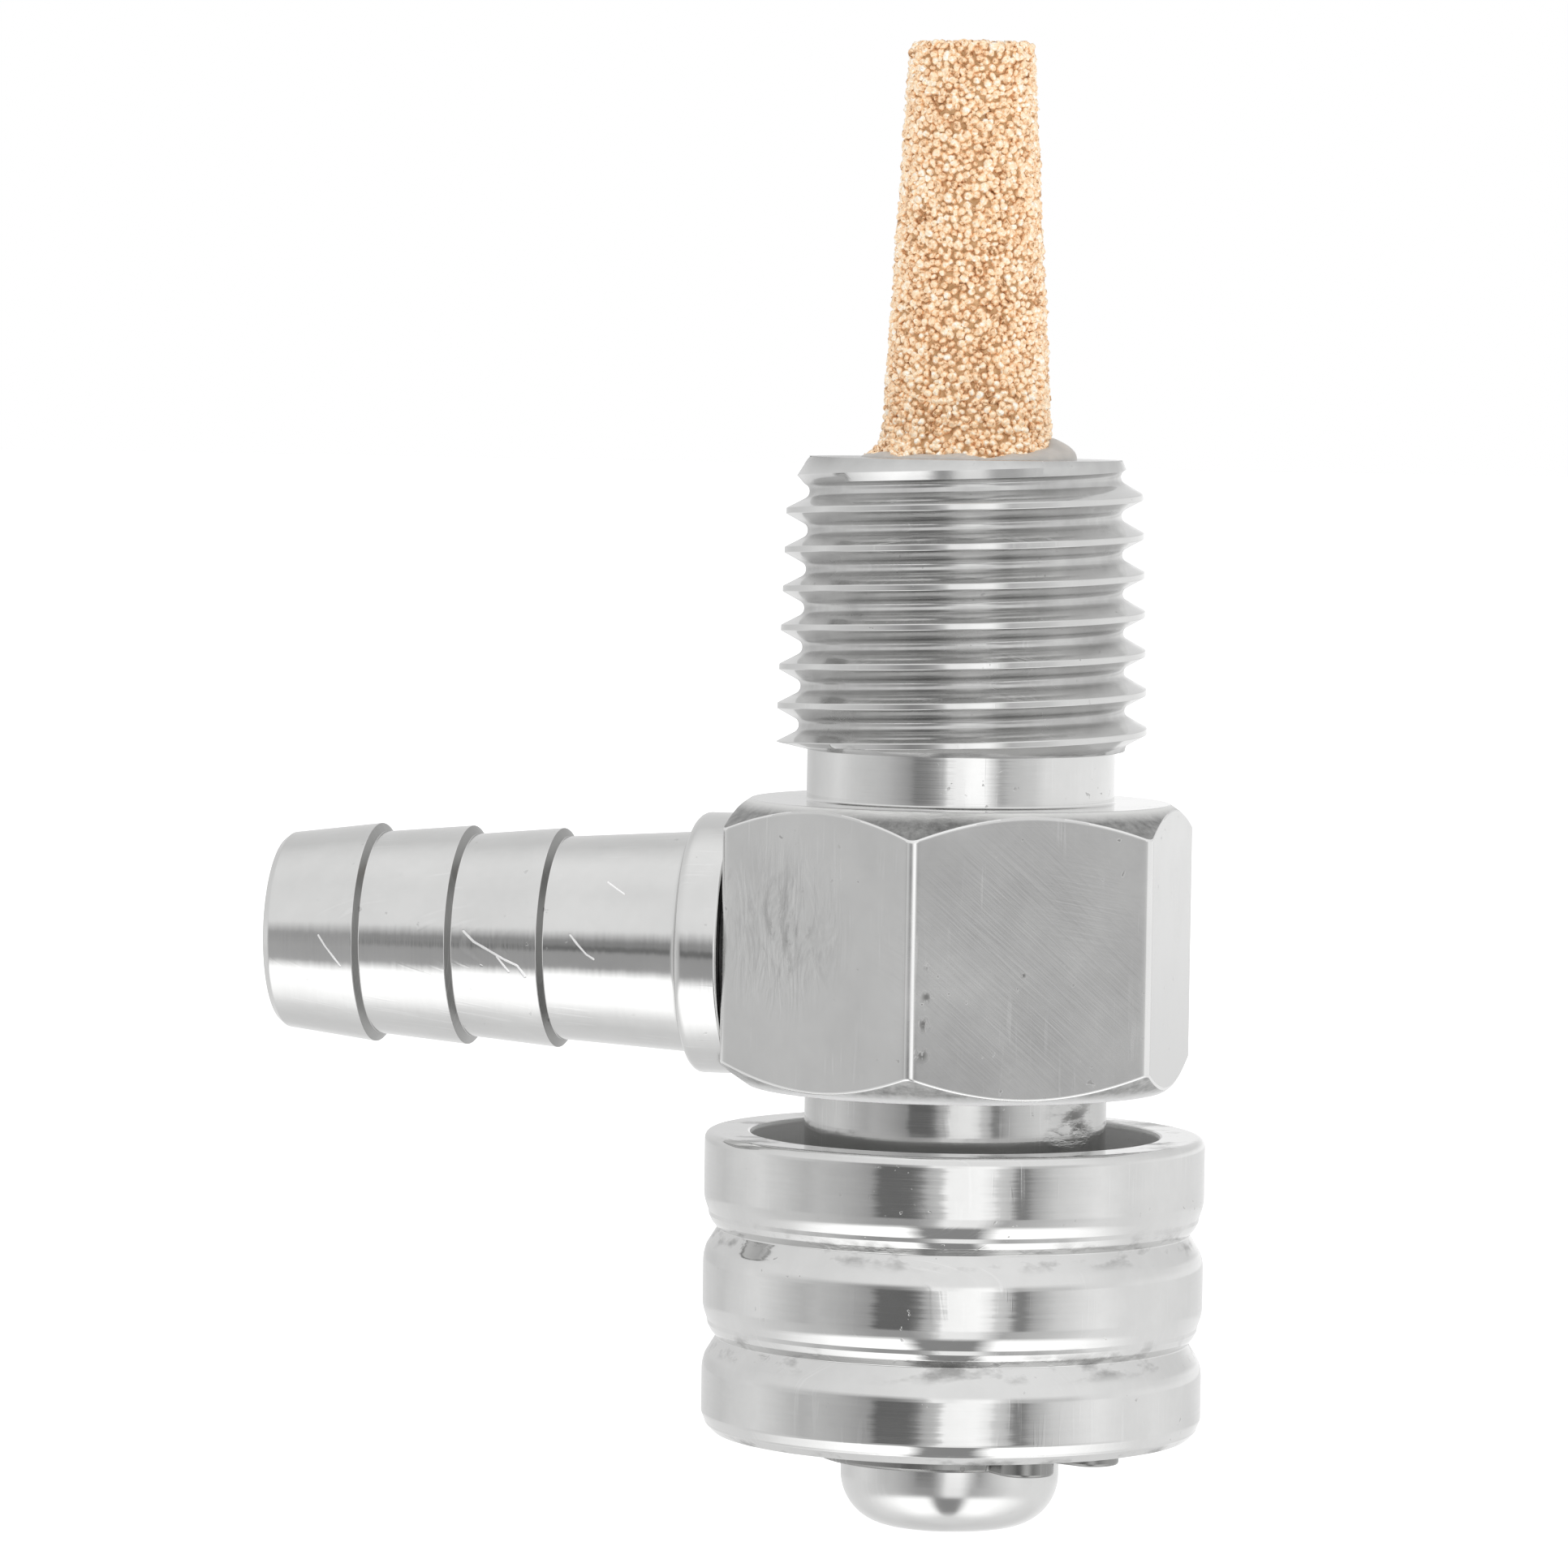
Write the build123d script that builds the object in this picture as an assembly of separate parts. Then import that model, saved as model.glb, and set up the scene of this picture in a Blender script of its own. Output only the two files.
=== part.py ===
from build123d import *
import math
import os

# Carbon dioxide diffuser with a spring-closed valve, in millimetres.
# Z is the axis of the turned body and points up, towards the porous element.
# The origin is on that axis, on the hexagon's top face, where the threaded end begins.
# The hose barb points along -X, square to one flat of the hexagon.

# Threaded end and neck
neck_radius = 5.7
neck_height = 1.85
thread_top = 12.65
thread_radius_low = 6.88
thread_taper = 1 / 32
thread_start_radius = 5.75
thread_start_chamfer = 0.85
thread_end_chamfer = 0.15

# Hexagon and lower boss
hex_across_flats = 16.0
hex_height = 10.6
hex_chamfer_angle = 35.0
hex_chamfer_radius = 7.75
boss_radius = 5.6
boss_bottom = -18.6

# Gas way through the body
socket_radius = 3.72
socket_floor = 9.5
outlet_radius = 2.9
seat_level = -0.5
throat_radius = 2.0
throat_bottom = -2.0
chamber_radius = 3.0
gland_bore_radius = 3.8
gland_bore_top = -10.4
port_level = -5.55
port_radius = 3.1
port_depth = 3.4
port_passage_radius = 1.9

# Porous element and the bead round its foot
element_top = 28.0
element_tip_radius = 2.31
element_foot_radius = 3.13
element_foot_level = 13.8
element_plug_radius = 3.7
element_plug_bottom = 9.6
element_bore_radius = 1.7
element_bore_tip_radius = 1.15
element_wall_top = 1.9
bead_radius = 4.1
bead_top = 13.45

# Hose barb, measured outwards from the hexagon's flat
barb_length = 17.75
barb_bore_radius = 1.9
barb_tip_radius = 3.68
barb_crest_radius = 4.11
barb_root_radius = 3.8
barb_crests = (14.15, 10.6, 7.1)
barb_ridge_back = 0.33
barb_neck_radius = 4.13
flange_radius = 4.86
flange_outer = 1.8
flange_rounding = 0.6
spigot_radius = 3.05
spigot_depth = 3.3
barb_seal_thickness = 0.12
barb_seal_radius = 4.35

# Valve stem
stem_radius = 2.0
stem_bottom = -24.6
stem_thread_radius = 1.5
stem_collar_bottom = -20.6
stem_shoulder = -9.0
stem_spring_radius = 1.5
stem_waist_radius = 1.1
stem_waist_bottom = -2.6
stem_tip_radius = 0.9
stem_tip_top = 1.8
poppet_bottom = 0.33
poppet_radius = 2.5
poppet_rim = 0.9
poppet_height = 2.2
poppet_nose_radius = 1.3
seal_thickness = 0.76

# O-rings
ring_section = 0.45
stem_ring_levels = (-12.6, -16.6)
stem_ring_reach = 2.03
gland_ring_level = -12.0
gland_ring_reach = 3.77

# Gland bush
gland_radius = 3.75
gland_top = -10.9
running_clearance = 0.05
spanner_slot_width = 1.0
spanner_slot_depth = 0.9

# Return spring
spring_wire_radius = 0.28
spring_radius = 2.25
spring_turns = 5.5
spring_top = -2.05
spring_bottom = -8.45
spring_seat_radius = 2.75
spring_seat_thickness = 0.5

# Grip sleeve
sleeve_radius = 9.28
sleeve_bore_radius = 7.55
sleeve_top = -12.35
sleeve_bottom = -23.5
sleeve_floor = -21.7
groove_levels = (-15.95, -20.0)
groove_depth = 0.52

# Domed button and the retaining ring in its groove
button_radius = 4.05
button_bottom = -27.0
button_dome = 0.16
button_rounding = 2.4
button_flange_radius = 5.0
button_flange_bottom = -21.62
button_top = -20.6
ring_inner_radius = 3.72
ring_back_radius = 5.0
ring_end_radius = 4.6
ring_top = -23.6
ring_thickness = 0.8
ring_opening = 2.0
ring_opening_azimuth = -26.7
lug_radius = 1.05
lug_centre = 5.4
lug_hole_radius = 0.6


def turned(outline, roundings):
    """Solid of revolution about Z. The outline is a closed list of (radius, height) corners, and
    roundings gives the fillet radius of the corners that have one, by their place in the list."""
    radii = [roundings.get(corner, 0) for corner in range(len(outline))]
    with BuildPart() as piece:
        with BuildSketch(Plane.XZ):
            with BuildLine():
                FilletPolyline(*outline, radius=radii, close=True)
            make_face()
        revolve(axis=Axis.Z)
    return piece.part


def tube(outer_radius, inner_radius, bottom, top):
    """Plain round tube on the Z axis."""
    outline = [(inner_radius, bottom), (outer_radius, bottom), (outer_radius, top), (inner_radius, top)]
    return turned(outline, {})


def o_ring(reach, level):
    """Round-section ring whose outside just reaches the given radius."""
    return Pos(0, 0, level) * Torus(reach - ring_section, ring_section)


def valve_body():
    """Threaded end, neck, hexagon and boss in one turned and milled piece, bored from both ends."""
    thread_length = thread_top - neck_height
    thread_radius_high = thread_radius_low - thread_taper * thread_length
    overlap = 1.0
    threaded_end = turned(
        [
            (0, -overlap),
            (neck_radius, -overlap),
            (neck_radius, neck_height),
            (thread_radius_low, neck_height + thread_end_chamfer),
            (thread_radius_high, thread_top - thread_start_chamfer),
            (thread_start_radius, thread_top),
            (0, thread_top),
        ],
        {},
    )
    hexagon = extrude(
        RegularPolygon(radius=hex_across_flats / 2, side_count=6, major_radius=False, rotation=30),
        amount=-hex_height,
    )
    corner_radius = hex_across_flats / 2 / math.cos(math.radians(30))
    chamfer_run = corner_radius + 1 - hex_chamfer_radius
    chamfer_drop = chamfer_run * math.tan(math.radians(hex_chamfer_angle))
    chamfer_cone = turned(
        [
            (0, 0),
            (hex_chamfer_radius, 0),
            (corner_radius + 1, -chamfer_drop),
            (corner_radius + 1, chamfer_drop - hex_height),
            (hex_chamfer_radius, -hex_height),
            (0, -hex_height),
        ],
        {},
    )
    boss = turned(
        [
            (0, 1 - hex_height),
            (boss_radius, 1 - hex_height),
            (boss_radius, boss_bottom),
            (0, boss_bottom),
        ],
        {2: 0.3},
    )
    bore = turned(
        [
            (0, boss_bottom - overlap),
            (gland_bore_radius, boss_bottom - overlap),
            (gland_bore_radius, gland_bore_top),
            (chamber_radius, gland_bore_top),
            (chamber_radius, throat_bottom),
            (throat_radius, throat_bottom),
            (throat_radius, seat_level),
            (outlet_radius, seat_level),
            (outlet_radius, socket_floor),
            (socket_radius, socket_floor),
            (socket_radius, thread_top + overlap),
            (0, thread_top + overlap),
        ],
        {},
    )
    flat = hex_across_flats / 2
    port = Pos(port_depth / 2 - flat, 0, port_level) * Rot(0, 90, 0) * Cylinder(port_radius, port_depth)
    passage = Pos(-flat / 2, 0, port_level) * Rot(0, 90, 0) * Cylinder(port_passage_radius, flat)
    return threaded_end + (hexagon & chamfer_cone) + boss - bore - port - passage


def diffuser_element():
    """Porous thimble: a tapered cone with a flared foot, hollow up to a blind end."""
    with BuildPart() as piece:
        with BuildSketch(Plane.XZ):
            with BuildLine():
                Polyline(
                    (element_foot_radius, element_foot_level),
                    (element_tip_radius, element_top - 0.15),
                    (element_tip_radius - 0.15, element_top),
                    (0, element_top),
                    (0, element_top - element_wall_top),
                    (element_bore_tip_radius, element_top - element_wall_top - 0.6),
                    (element_bore_radius, element_plug_bottom),
                    (element_plug_radius, element_plug_bottom),
                    (element_plug_radius, thread_top),
                )
                ThreePointArc(
                    (element_plug_radius, thread_top),
                    (element_foot_radius + 0.16, element_foot_level - 0.68),
                    (element_foot_radius, element_foot_level),
                )
            make_face()
        revolve(axis=Axis.Z)
    return piece.part


def bond_ring():
    """Hollow-faced bead that seals the element's foot to the top of the threaded end."""
    gap = 0.02
    with BuildPart() as piece:
        with BuildSketch(Plane.XZ):
            with BuildLine():
                Line((element_plug_radius + gap, thread_top), (bead_radius, thread_top))
                ThreePointArc(
                    (bead_radius, thread_top),
                    (element_plug_radius - 0.13, thread_top + 0.36),
                    (element_foot_radius + 0.13, bead_top),
                )
                ThreePointArc(
                    (element_foot_radius + 0.13, bead_top),
                    (element_foot_radius + 0.24, element_foot_level - 0.71),
                    (element_plug_radius + gap, thread_top),
                )
            make_face()
        revolve(axis=Axis.Z)
    return piece.part


def along_barb(piece):
    """Turn a piece made on +Z so that it points along the barb, and set it on the hexagon's flat."""
    return Pos(-hex_across_flats / 2, 0, port_level) * Rot(0, -90, 0) * piece


def hose_barb():
    """Bored hose connector: a screwed-in spigot, a round flange and three ridges."""
    ridges = []
    for crest in reversed(barb_crests):
        ridges.append((barb_root_radius, crest - barb_ridge_back))
        ridges.append((barb_crest_radius, crest))
    outline = [
        (barb_bore_radius, -spigot_depth),
        (spigot_radius, -spigot_depth),
        (spigot_radius, barb_seal_thickness),
        (flange_radius, barb_seal_thickness),
        (flange_radius, flange_outer),
        (barb_neck_radius, flange_outer),
        *ridges,
        (barb_tip_radius, barb_length - 0.25),
        (barb_tip_radius - 0.2, barb_length),
        (barb_bore_radius, barb_length),
    ]
    return along_barb(turned(outline, {4: flange_rounding, 5: 0.15, 14: 0.15}))


def barb_seal():
    """Flat ring between the barb's flange and the hexagon."""
    return along_barb(tube(barb_seal_radius, spigot_radius + 0.05, 0, barb_seal_thickness))


def valve_poppet():
    """Valve head: a disc with a conical nose, screwed on the tip of the stem."""
    outline = [
        (stem_tip_radius + 0.02, poppet_bottom),
        (poppet_radius, poppet_bottom),
        (poppet_radius, poppet_bottom + poppet_rim),
        (poppet_nose_radius, poppet_bottom + poppet_height),
        (0, poppet_bottom + poppet_height),
        (0, stem_tip_top + 0.05),
        (stem_tip_radius + 0.02, stem_tip_top + 0.05),
    ]
    return turned(outline, {2: 0.15, 3: 0.2})


def poppet_seal():
    """Soft washer under the valve head."""
    top = poppet_bottom - 0.02
    return tube(poppet_radius - 0.05, stem_waist_radius + 0.05, top - seal_thickness, top)


def spindle():
    """Valve stem with a threaded foot, two seal grooves, a shoulder for the spring and a thin waist."""
    groove_root = stem_ring_reach - 2 * ring_section - 0.02
    groove_half = ring_section + 0.1
    grooves = []
    for level in reversed(stem_ring_levels):
        grooves.append((stem_radius, level - groove_half))
        grooves.append((groove_root, level - groove_half))
        grooves.append((groove_root, level + groove_half))
        grooves.append((stem_radius, level + groove_half))
    outline = [
        (0, stem_bottom),
        (stem_thread_radius - 0.2, stem_bottom),
        (stem_thread_radius, stem_bottom + 0.2),
        (stem_thread_radius, stem_collar_bottom),
        (stem_radius, stem_collar_bottom),
        *grooves,
        (stem_radius, stem_shoulder),
        (stem_spring_radius, stem_shoulder),
        (stem_spring_radius, stem_waist_bottom - 0.4),
        (stem_waist_radius, stem_waist_bottom),
        (stem_waist_radius, poppet_bottom),
        (stem_tip_radius, poppet_bottom),
        (stem_tip_radius, stem_tip_top - 0.2),
        (stem_tip_radius - 0.2, stem_tip_top),
        (0, stem_tip_top),
    ]
    return turned(outline, {})


def return_spring():
    """Coil spring between the body's ledge and the washer on the stem's shoulder."""
    height = spring_top - spring_bottom - 2 * spring_wire_radius
    coil = Pos(0, 0, spring_bottom + spring_wire_radius) * Helix(height / spring_turns, height, spring_radius)
    start = Plane(origin=coil @ 0, z_dir=coil % 0)
    return sweep(start * Circle(spring_wire_radius), path=coil)


def spring_seat():
    """Washer that carries the spring's lower end."""
    bore = stem_spring_radius + 0.03
    return tube(spring_seat_radius, bore, stem_shoulder, stem_shoulder + spring_seat_thickness)


def gland_bush():
    """Guide bush that closes the chamber: a bored plug with a seal groove and a spanner slot."""
    groove_root = gland_ring_reach - 2 * ring_section - 0.02
    groove_half = ring_section + 0.1
    bore = stem_radius + running_clearance
    outline = [
        (bore, boss_bottom),
        (gland_radius, boss_bottom),
        (gland_radius, gland_ring_level - groove_half),
        (groove_root, gland_ring_level - groove_half),
        (groove_root, gland_ring_level + groove_half),
        (gland_radius, gland_ring_level + groove_half),
        (gland_radius, gland_top),
        (bore, gland_top),
    ]
    bush = turned(outline, {})
    slot = Pos(0, 0, boss_bottom) * Box(2 * gland_radius + 1, spanner_slot_width, 2 * spanner_slot_depth)
    return bush - slot


def groove(level):
    """Corners of one gripping groove, from its upper edge down: a hollow flank with a small ledge,
    the narrow bottom, and a lower flank that rounds out to the next band."""
    return [
        (sleeve_radius, level + 1.15),
        (sleeve_radius - 0.17, level + 0.66),
        (sleeve_radius - 0.19, level + 0.5),
        (sleeve_radius - 0.3, level + 0.28),
        (sleeve_radius - groove_depth, level),
        (sleeve_radius - 0.1, level - 0.68),
        (sleeve_radius, level - 1.05),
    ]


def grip_sleeve():
    """Open-topped sleeve with three round bands, two grooves and an end plate with a running hole."""
    outline = [
        (sleeve_bore_radius, sleeve_top),
        (sleeve_radius, sleeve_top),
        *groove(groove_levels[0]),
        *groove(groove_levels[1]),
        (sleeve_radius, sleeve_bottom + 0.7),
        (sleeve_radius - 0.13, sleeve_bottom + 0.38),
        (sleeve_radius - 0.15, sleeve_bottom + 0.3),
        (sleeve_radius - 0.45, sleeve_bottom),
        (button_radius + running_clearance, sleeve_bottom),
        (button_radius + running_clearance, sleeve_floor),
        (sleeve_bore_radius, sleeve_floor),
    ]
    roundings = {0: 0.15, 1: 0.3, 16: 0.3, 19: 0.1, 22: 0.5}
    for upper_edge in (2, 9):
        roundings[upper_edge] = 0.8
        roundings[upper_edge + 4] = 0.06
        roundings[upper_edge + 5] = 0.5
        roundings[upper_edge + 6] = 0.8
    return turned(outline, roundings)


def push_button():
    """Domed end of the plunger, with the ring's groove, the sleeve's journal and an inner flange."""
    groove_root = ring_inner_radius - 0.02
    side_gap = 0.02
    ring_bottom = ring_top - ring_thickness
    outline = [
        (0, button_bottom),
        (button_radius, button_bottom + button_dome),
        (button_radius, ring_bottom - side_gap),
        (groove_root, ring_bottom - side_gap),
        (groove_root, ring_top + side_gap),
        (button_radius, ring_top + side_gap),
        (button_radius, button_flange_bottom),
        (button_flange_radius, button_flange_bottom),
        (button_flange_radius, button_top),
        (stem_thread_radius + 0.02, button_top),
        (stem_thread_radius + 0.02, stem_bottom - 0.1),
        (0, stem_bottom - 0.1),
    ]
    return turned(outline, {1: button_rounding, 8: 0.25})


def retaining_ring():
    """Open spring ring: wide at the back, narrow at its ends, with two drilled lugs beside the gap."""
    offset = (ring_back_radius - ring_end_radius) / 2
    lug_angle = math.degrees((ring_opening / 2 + lug_radius) / lug_centre)
    turns = (Rot(0, 0, -lug_angle), Rot(0, 0, lug_angle))
    lugs = [turn * Pos(lug_centre, 0, 0) for turn in turns]
    roots = [turn * Pos(lug_centre - lug_radius, 0, 0) for turn in turns]
    with BuildSketch() as flat_ring:
        with Locations((-offset, 0)):
            Circle((ring_back_radius + ring_end_radius) / 2)
        with Locations(*lugs):
            Circle(lug_radius)
        with Locations(*roots):
            Rectangle(2 * lug_radius, 2 * lug_radius)
        Circle(ring_inner_radius, mode=Mode.SUBTRACT)
        with Locations((lug_centre, 0)):
            Rectangle(2 * (lug_centre - 1), ring_opening, mode=Mode.SUBTRACT)
        with Locations(*lugs):
            Circle(lug_hole_radius, mode=Mode.SUBTRACT)
    blank = extrude(flat_ring.sketch, amount=-ring_thickness)
    return Pos(0, 0, ring_top) * Rot(0, 0, ring_opening_azimuth) * blank


nodes = {
    "valve_body": valve_body(),
    "diffuser_element": diffuser_element(),
    "bond_ring": bond_ring(),
    "hose_barb": hose_barb(),
    "barb_seal": barb_seal(),
    "gland_bush": gland_bush(),
    "gland_seal": o_ring(gland_ring_reach, gland_ring_level),
    "return_spring": return_spring(),
    "spring_seat": spring_seat(),
    "spindle": spindle(),
    "spindle_seal_upper": o_ring(stem_ring_reach, stem_ring_levels[0]),
    "spindle_seal_lower": o_ring(stem_ring_reach, stem_ring_levels[1]),
    "valve_poppet": valve_poppet(),
    "poppet_seal": poppet_seal(),
    "push_button": push_button(),
    "retaining_ring": retaining_ring(),
    "grip_sleeve": grip_sleeve(),
}

os.makedirs("parts", exist_ok=True)
for name, shape in nodes.items():
    export_step(shape, f"parts/{name}.step")
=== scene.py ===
import math
import random

import bmesh
import bpy
import numpy as np
from mathutils import Matrix, Vector


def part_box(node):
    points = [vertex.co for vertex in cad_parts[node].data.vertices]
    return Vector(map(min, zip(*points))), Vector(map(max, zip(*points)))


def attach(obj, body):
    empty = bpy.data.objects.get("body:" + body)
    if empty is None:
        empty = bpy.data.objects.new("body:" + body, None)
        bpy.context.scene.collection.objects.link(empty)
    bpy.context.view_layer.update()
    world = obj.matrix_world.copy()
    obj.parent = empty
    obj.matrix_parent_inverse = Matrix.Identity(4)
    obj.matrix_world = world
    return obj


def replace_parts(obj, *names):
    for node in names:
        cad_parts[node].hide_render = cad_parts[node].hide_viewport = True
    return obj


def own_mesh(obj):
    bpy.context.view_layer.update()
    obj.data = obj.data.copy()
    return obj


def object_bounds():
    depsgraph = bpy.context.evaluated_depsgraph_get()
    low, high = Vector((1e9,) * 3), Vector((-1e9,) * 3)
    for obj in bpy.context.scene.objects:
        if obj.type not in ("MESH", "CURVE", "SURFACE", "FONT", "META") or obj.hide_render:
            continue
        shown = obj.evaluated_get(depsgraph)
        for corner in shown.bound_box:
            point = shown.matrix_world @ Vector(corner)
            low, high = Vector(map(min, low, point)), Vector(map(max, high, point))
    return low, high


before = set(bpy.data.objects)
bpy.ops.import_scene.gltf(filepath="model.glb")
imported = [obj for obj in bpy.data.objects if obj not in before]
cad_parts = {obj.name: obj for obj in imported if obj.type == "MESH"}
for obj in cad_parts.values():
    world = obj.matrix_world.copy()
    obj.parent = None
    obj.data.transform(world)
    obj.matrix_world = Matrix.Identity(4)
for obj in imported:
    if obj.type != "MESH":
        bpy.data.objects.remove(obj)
cad_low, cad_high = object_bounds()

MM = 0.001

# ---------------------------------------------------------------- sizes, in millimetres
# Levels and radii that the frame states come from it, and the rest are the real sizes of forms
# that the frame's boxes can't tell.

body_low, body_high = (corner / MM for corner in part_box("valve_body"))
element_low, element_high = (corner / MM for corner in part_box("diffuser_element"))
barb_low, barb_high = (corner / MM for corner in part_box("hose_barb"))
seal_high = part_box("barb_seal")[1] / MM
sleeve_low, sleeve_high = (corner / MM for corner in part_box("grip_sleeve"))
button_low, button_high = (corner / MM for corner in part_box("push_button"))
ring_low, ring_high = (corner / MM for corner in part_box("retaining_ring"))
bead_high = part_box("bond_ring")[1] / MM

THREAD_PITCH = 1.44
THREAD_DEPTH = 0.82
THREAD_TAPER = 1 / 32
THREAD_CREST_LOW = 6.88
THREAD_CREST_LEVEL = 7.02
THREAD_TOP = body_high.z
THREAD_START_RADIUS = 5.78
THREAD_START_SLOPE = 0.63
THREAD_END_SLOPE = 4.5
NECK_RADIUS = 5.7
NECK_TOP = 1.85
HEX_APOTHEM = body_high.x
HEX_BOTTOM = -10.6
HEX_CHAMFER_RADIUS = 7.75
HEX_CHAMFER_SLOPE = math.tan(math.radians(35))
HEX_EDGE_ROUNDING = 0.45
BOSS_RADIUS = 5.6
BOSS_BOTTOM = body_low.z
GLAND_BORE, GLAND_BORE_TOP = 3.8, -10.4
CHAMBER_BORE = 3.0
THROAT_BORE, THROAT_BOTTOM, SEAT_LEVEL = 2.0, -2.0, -0.5
OUTLET_BORE = 2.9
SOCKET_BORE, SOCKET_FLOOR = 3.72, 9.5
ELEMENT_FOOT_LEVEL, ELEMENT_FOOT_RADIUS, ELEMENT_TIP_RADIUS = 13.8, 3.13, 2.31
ELEMENT_FLARE = 0.52
SLEEVE_RADIUS = sleeve_high.x
SLEEVE_BORE = 7.55
SLEEVE_FLOOR = -21.7
GROOVE_LEVELS = (-15.95, -20.0)
BUTTON_RADIUS = 4.05
BUTTON_GROOVE_RADIUS = 3.7
BUTTON_FLANGE_BOTTOM = -21.62
BUTTON_THREAD_RADIUS, BUTTON_THREAD_BOTTOM = 1.52, -24.7
BUTTON_EDGE_ROUNDING = 1.9
BARB_LEVEL = (barb_low.z + barb_high.z) / 2
BARB_CRESTS = (7.1, 10.6, 14.15)
BARB_CREST_RADIUS, BARB_ROOT_RADIUS, RIDGE_BACK = 4.11, 3.8, 0.17
BARB_NECK_RADIUS, BARB_TIP_RADIUS = 4.13, 3.68
BARB_BORE, SPIGOT_RADIUS, SPIGOT_DEPTH = 1.9, 3.05, 3.3
FLANGE_RADIUS, FLANGE_FACE, SEAL_THICKNESS = 4.86, 1.8, 0.12
CAMERA_AZIMUTH = 10.8


# ---------------------------------------------------------------- mesh tools

def rounded(corners, radii, steps=5):
    """Rounds the corners of an open outline. corners is an array of (corner, column, 2), so that an
    outline may differ from column to column, and the result has the same form with more rows."""
    rows = []
    last = len(corners) - 1
    for index, corner in enumerate(corners):
        radius = radii.get(index, 0)
        if radius == 0 or index in (0, last):
            rows.append(corner)
            continue
        back = corners[index - 1] - corner
        ahead = corners[index + 1] - corner
        back_length = np.linalg.norm(back, axis=1, keepdims=True)
        ahead_length = np.linalg.norm(ahead, axis=1, keepdims=True)
        back = back / back_length
        ahead = ahead / ahead_length
        half = np.arccos(np.clip((back * ahead).sum(1, keepdims=True), -1, 1)) / 2
        room_back = back_length * (0.48 if index - 1 in radii else 0.96)
        room_ahead = ahead_length * (0.48 if index + 1 in radii else 0.96)
        cut = np.minimum(radius / np.tan(half), np.minimum(room_back, room_ahead))
        arc_radius = cut * np.tan(half)
        middle = (back + ahead) / np.linalg.norm(back + ahead, axis=1, keepdims=True)
        centre = corner + middle * arc_radius / np.sin(half)
        start = corner + back * cut - centre
        end = corner + ahead * cut - centre
        sweep = math.pi - 2 * half
        rows.append(corner + back * np.minimum(cut * 1.3, room_back))
        for share in np.linspace(0, 1, steps):
            blend = np.sin((1 - share) * sweep) * start + np.sin(share * sweep) * end
            rows.append(centre + blend / np.sin(sweep))
        rows.append(corner + ahead * np.minimum(cut * 1.3, room_ahead))
    return np.array(rows)


def plain(outline, columns):
    """The same outline repeated in every column."""
    return np.repeat(np.array(outline, float)[:, None, :], columns, axis=1)


def even_angles(count):
    return np.arange(count) * 2 * math.pi / count


def grid_points(rows, angles):
    """Points in millimetres for rows of (radius, height) turned about Z."""
    radius, height = rows[..., 0], rows[..., 1]
    return np.stack([radius * np.cos(angles), radius * np.sin(angles), height], axis=-1)


def grid_faces(row_count, columns, first=0, closed=False):
    """Quads between neighbouring rows, all the way round."""
    faces = []
    for row in range(row_count if closed else row_count - 1):
        above = (row + 1) % row_count
        for column in range(columns):
            right = (column + 1) % columns
            faces.append((
                first + row * columns + column,
                first + row * columns + right,
                first + above * columns + right,
                first + above * columns + column,
            ))
    return faces


def make_piece(name, points, faces, material, smooth_angle=32, matrix=None):
    """A welded mesh object, in metres, smooth except where faces meet at more than the angle."""
    mesh = bpy.data.meshes.new(name)
    mesh.from_pydata((np.asarray(points).reshape(-1, 3) * MM).tolist(), [], faces)
    work = bmesh.new()
    work.from_mesh(mesh)
    bmesh.ops.remove_doubles(work, verts=work.verts, dist=2e-7)
    bmesh.ops.dissolve_degenerate(work, edges=work.edges, dist=1e-8)
    bmesh.ops.recalc_face_normals(work, faces=work.faces)
    work.to_mesh(mesh)
    work.free()
    if matrix is not None:
        mesh.transform(matrix)
    mesh.shade_smooth()
    mesh.set_sharp_from_angle(angle=math.radians(smooth_angle))
    piece = bpy.data.objects.new(name, mesh)
    bpy.context.scene.collection.objects.link(piece)
    mesh.materials.append(material)
    return piece


def turned(name, outline, radii, material, columns=240, steps=6, matrix=None):
    """A closed turned piece. The outline of (radius, height) corners ends where it starts, or both
    its ends lie on the axis."""
    rows = rounded(plain(outline, columns), radii, steps)
    points = grid_points(rows, even_angles(columns))
    return make_piece(name, points, grid_faces(len(rows), columns), material, matrix=matrix)


# ---------------------------------------------------------------- materials

class Tree:
    """Short forms for building any node tree."""

    def __init__(self, tree):
        self.tree = tree

    def add(self, kind, **values):
        node = self.tree.nodes.new(kind)
        for key, value in values.items():
            setattr(node, key, value)
        return node

    def link(self, output, target):
        self.tree.links.new(output, target)

    def ramp(self, value, *stops):
        """Colour ramp through (position, grey or colour) stops."""
        node = self.add("ShaderNodeValToRGB")
        self.link(value, node.inputs["Fac"])
        elements = node.color_ramp.elements
        while len(elements) < len(stops):
            elements.new(0.5)
        for element, (position, colour) in zip(elements, stops):
            element.position = position
            grey = isinstance(colour, (int, float))
            element.color = (colour, colour, colour, 1) if grey else (*colour, 1)
        return node.outputs["Color"]

    def math(self, operation, first, second=0.0, clamp=False):
        node = self.add("ShaderNodeMath", operation=operation, use_clamp=clamp)
        for socket, value in zip(node.inputs, (first, second)):
            if isinstance(value, (int, float)):
                socket.default_value = value
            else:
                self.link(value, socket)
        return node.outputs[0]

    def mix(self, share, first, second):
        node = self.add("ShaderNodeMix", data_type="RGBA")
        for index, value in ((0, share), (6, first), (7, second)):
            socket = node.inputs[index]
            if isinstance(value, (int, float)):
                socket.default_value = value
            elif isinstance(value, tuple):
                socket.default_value = (*value, 1)
            else:
                self.link(value, socket)
        return node.outputs[2]


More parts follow.
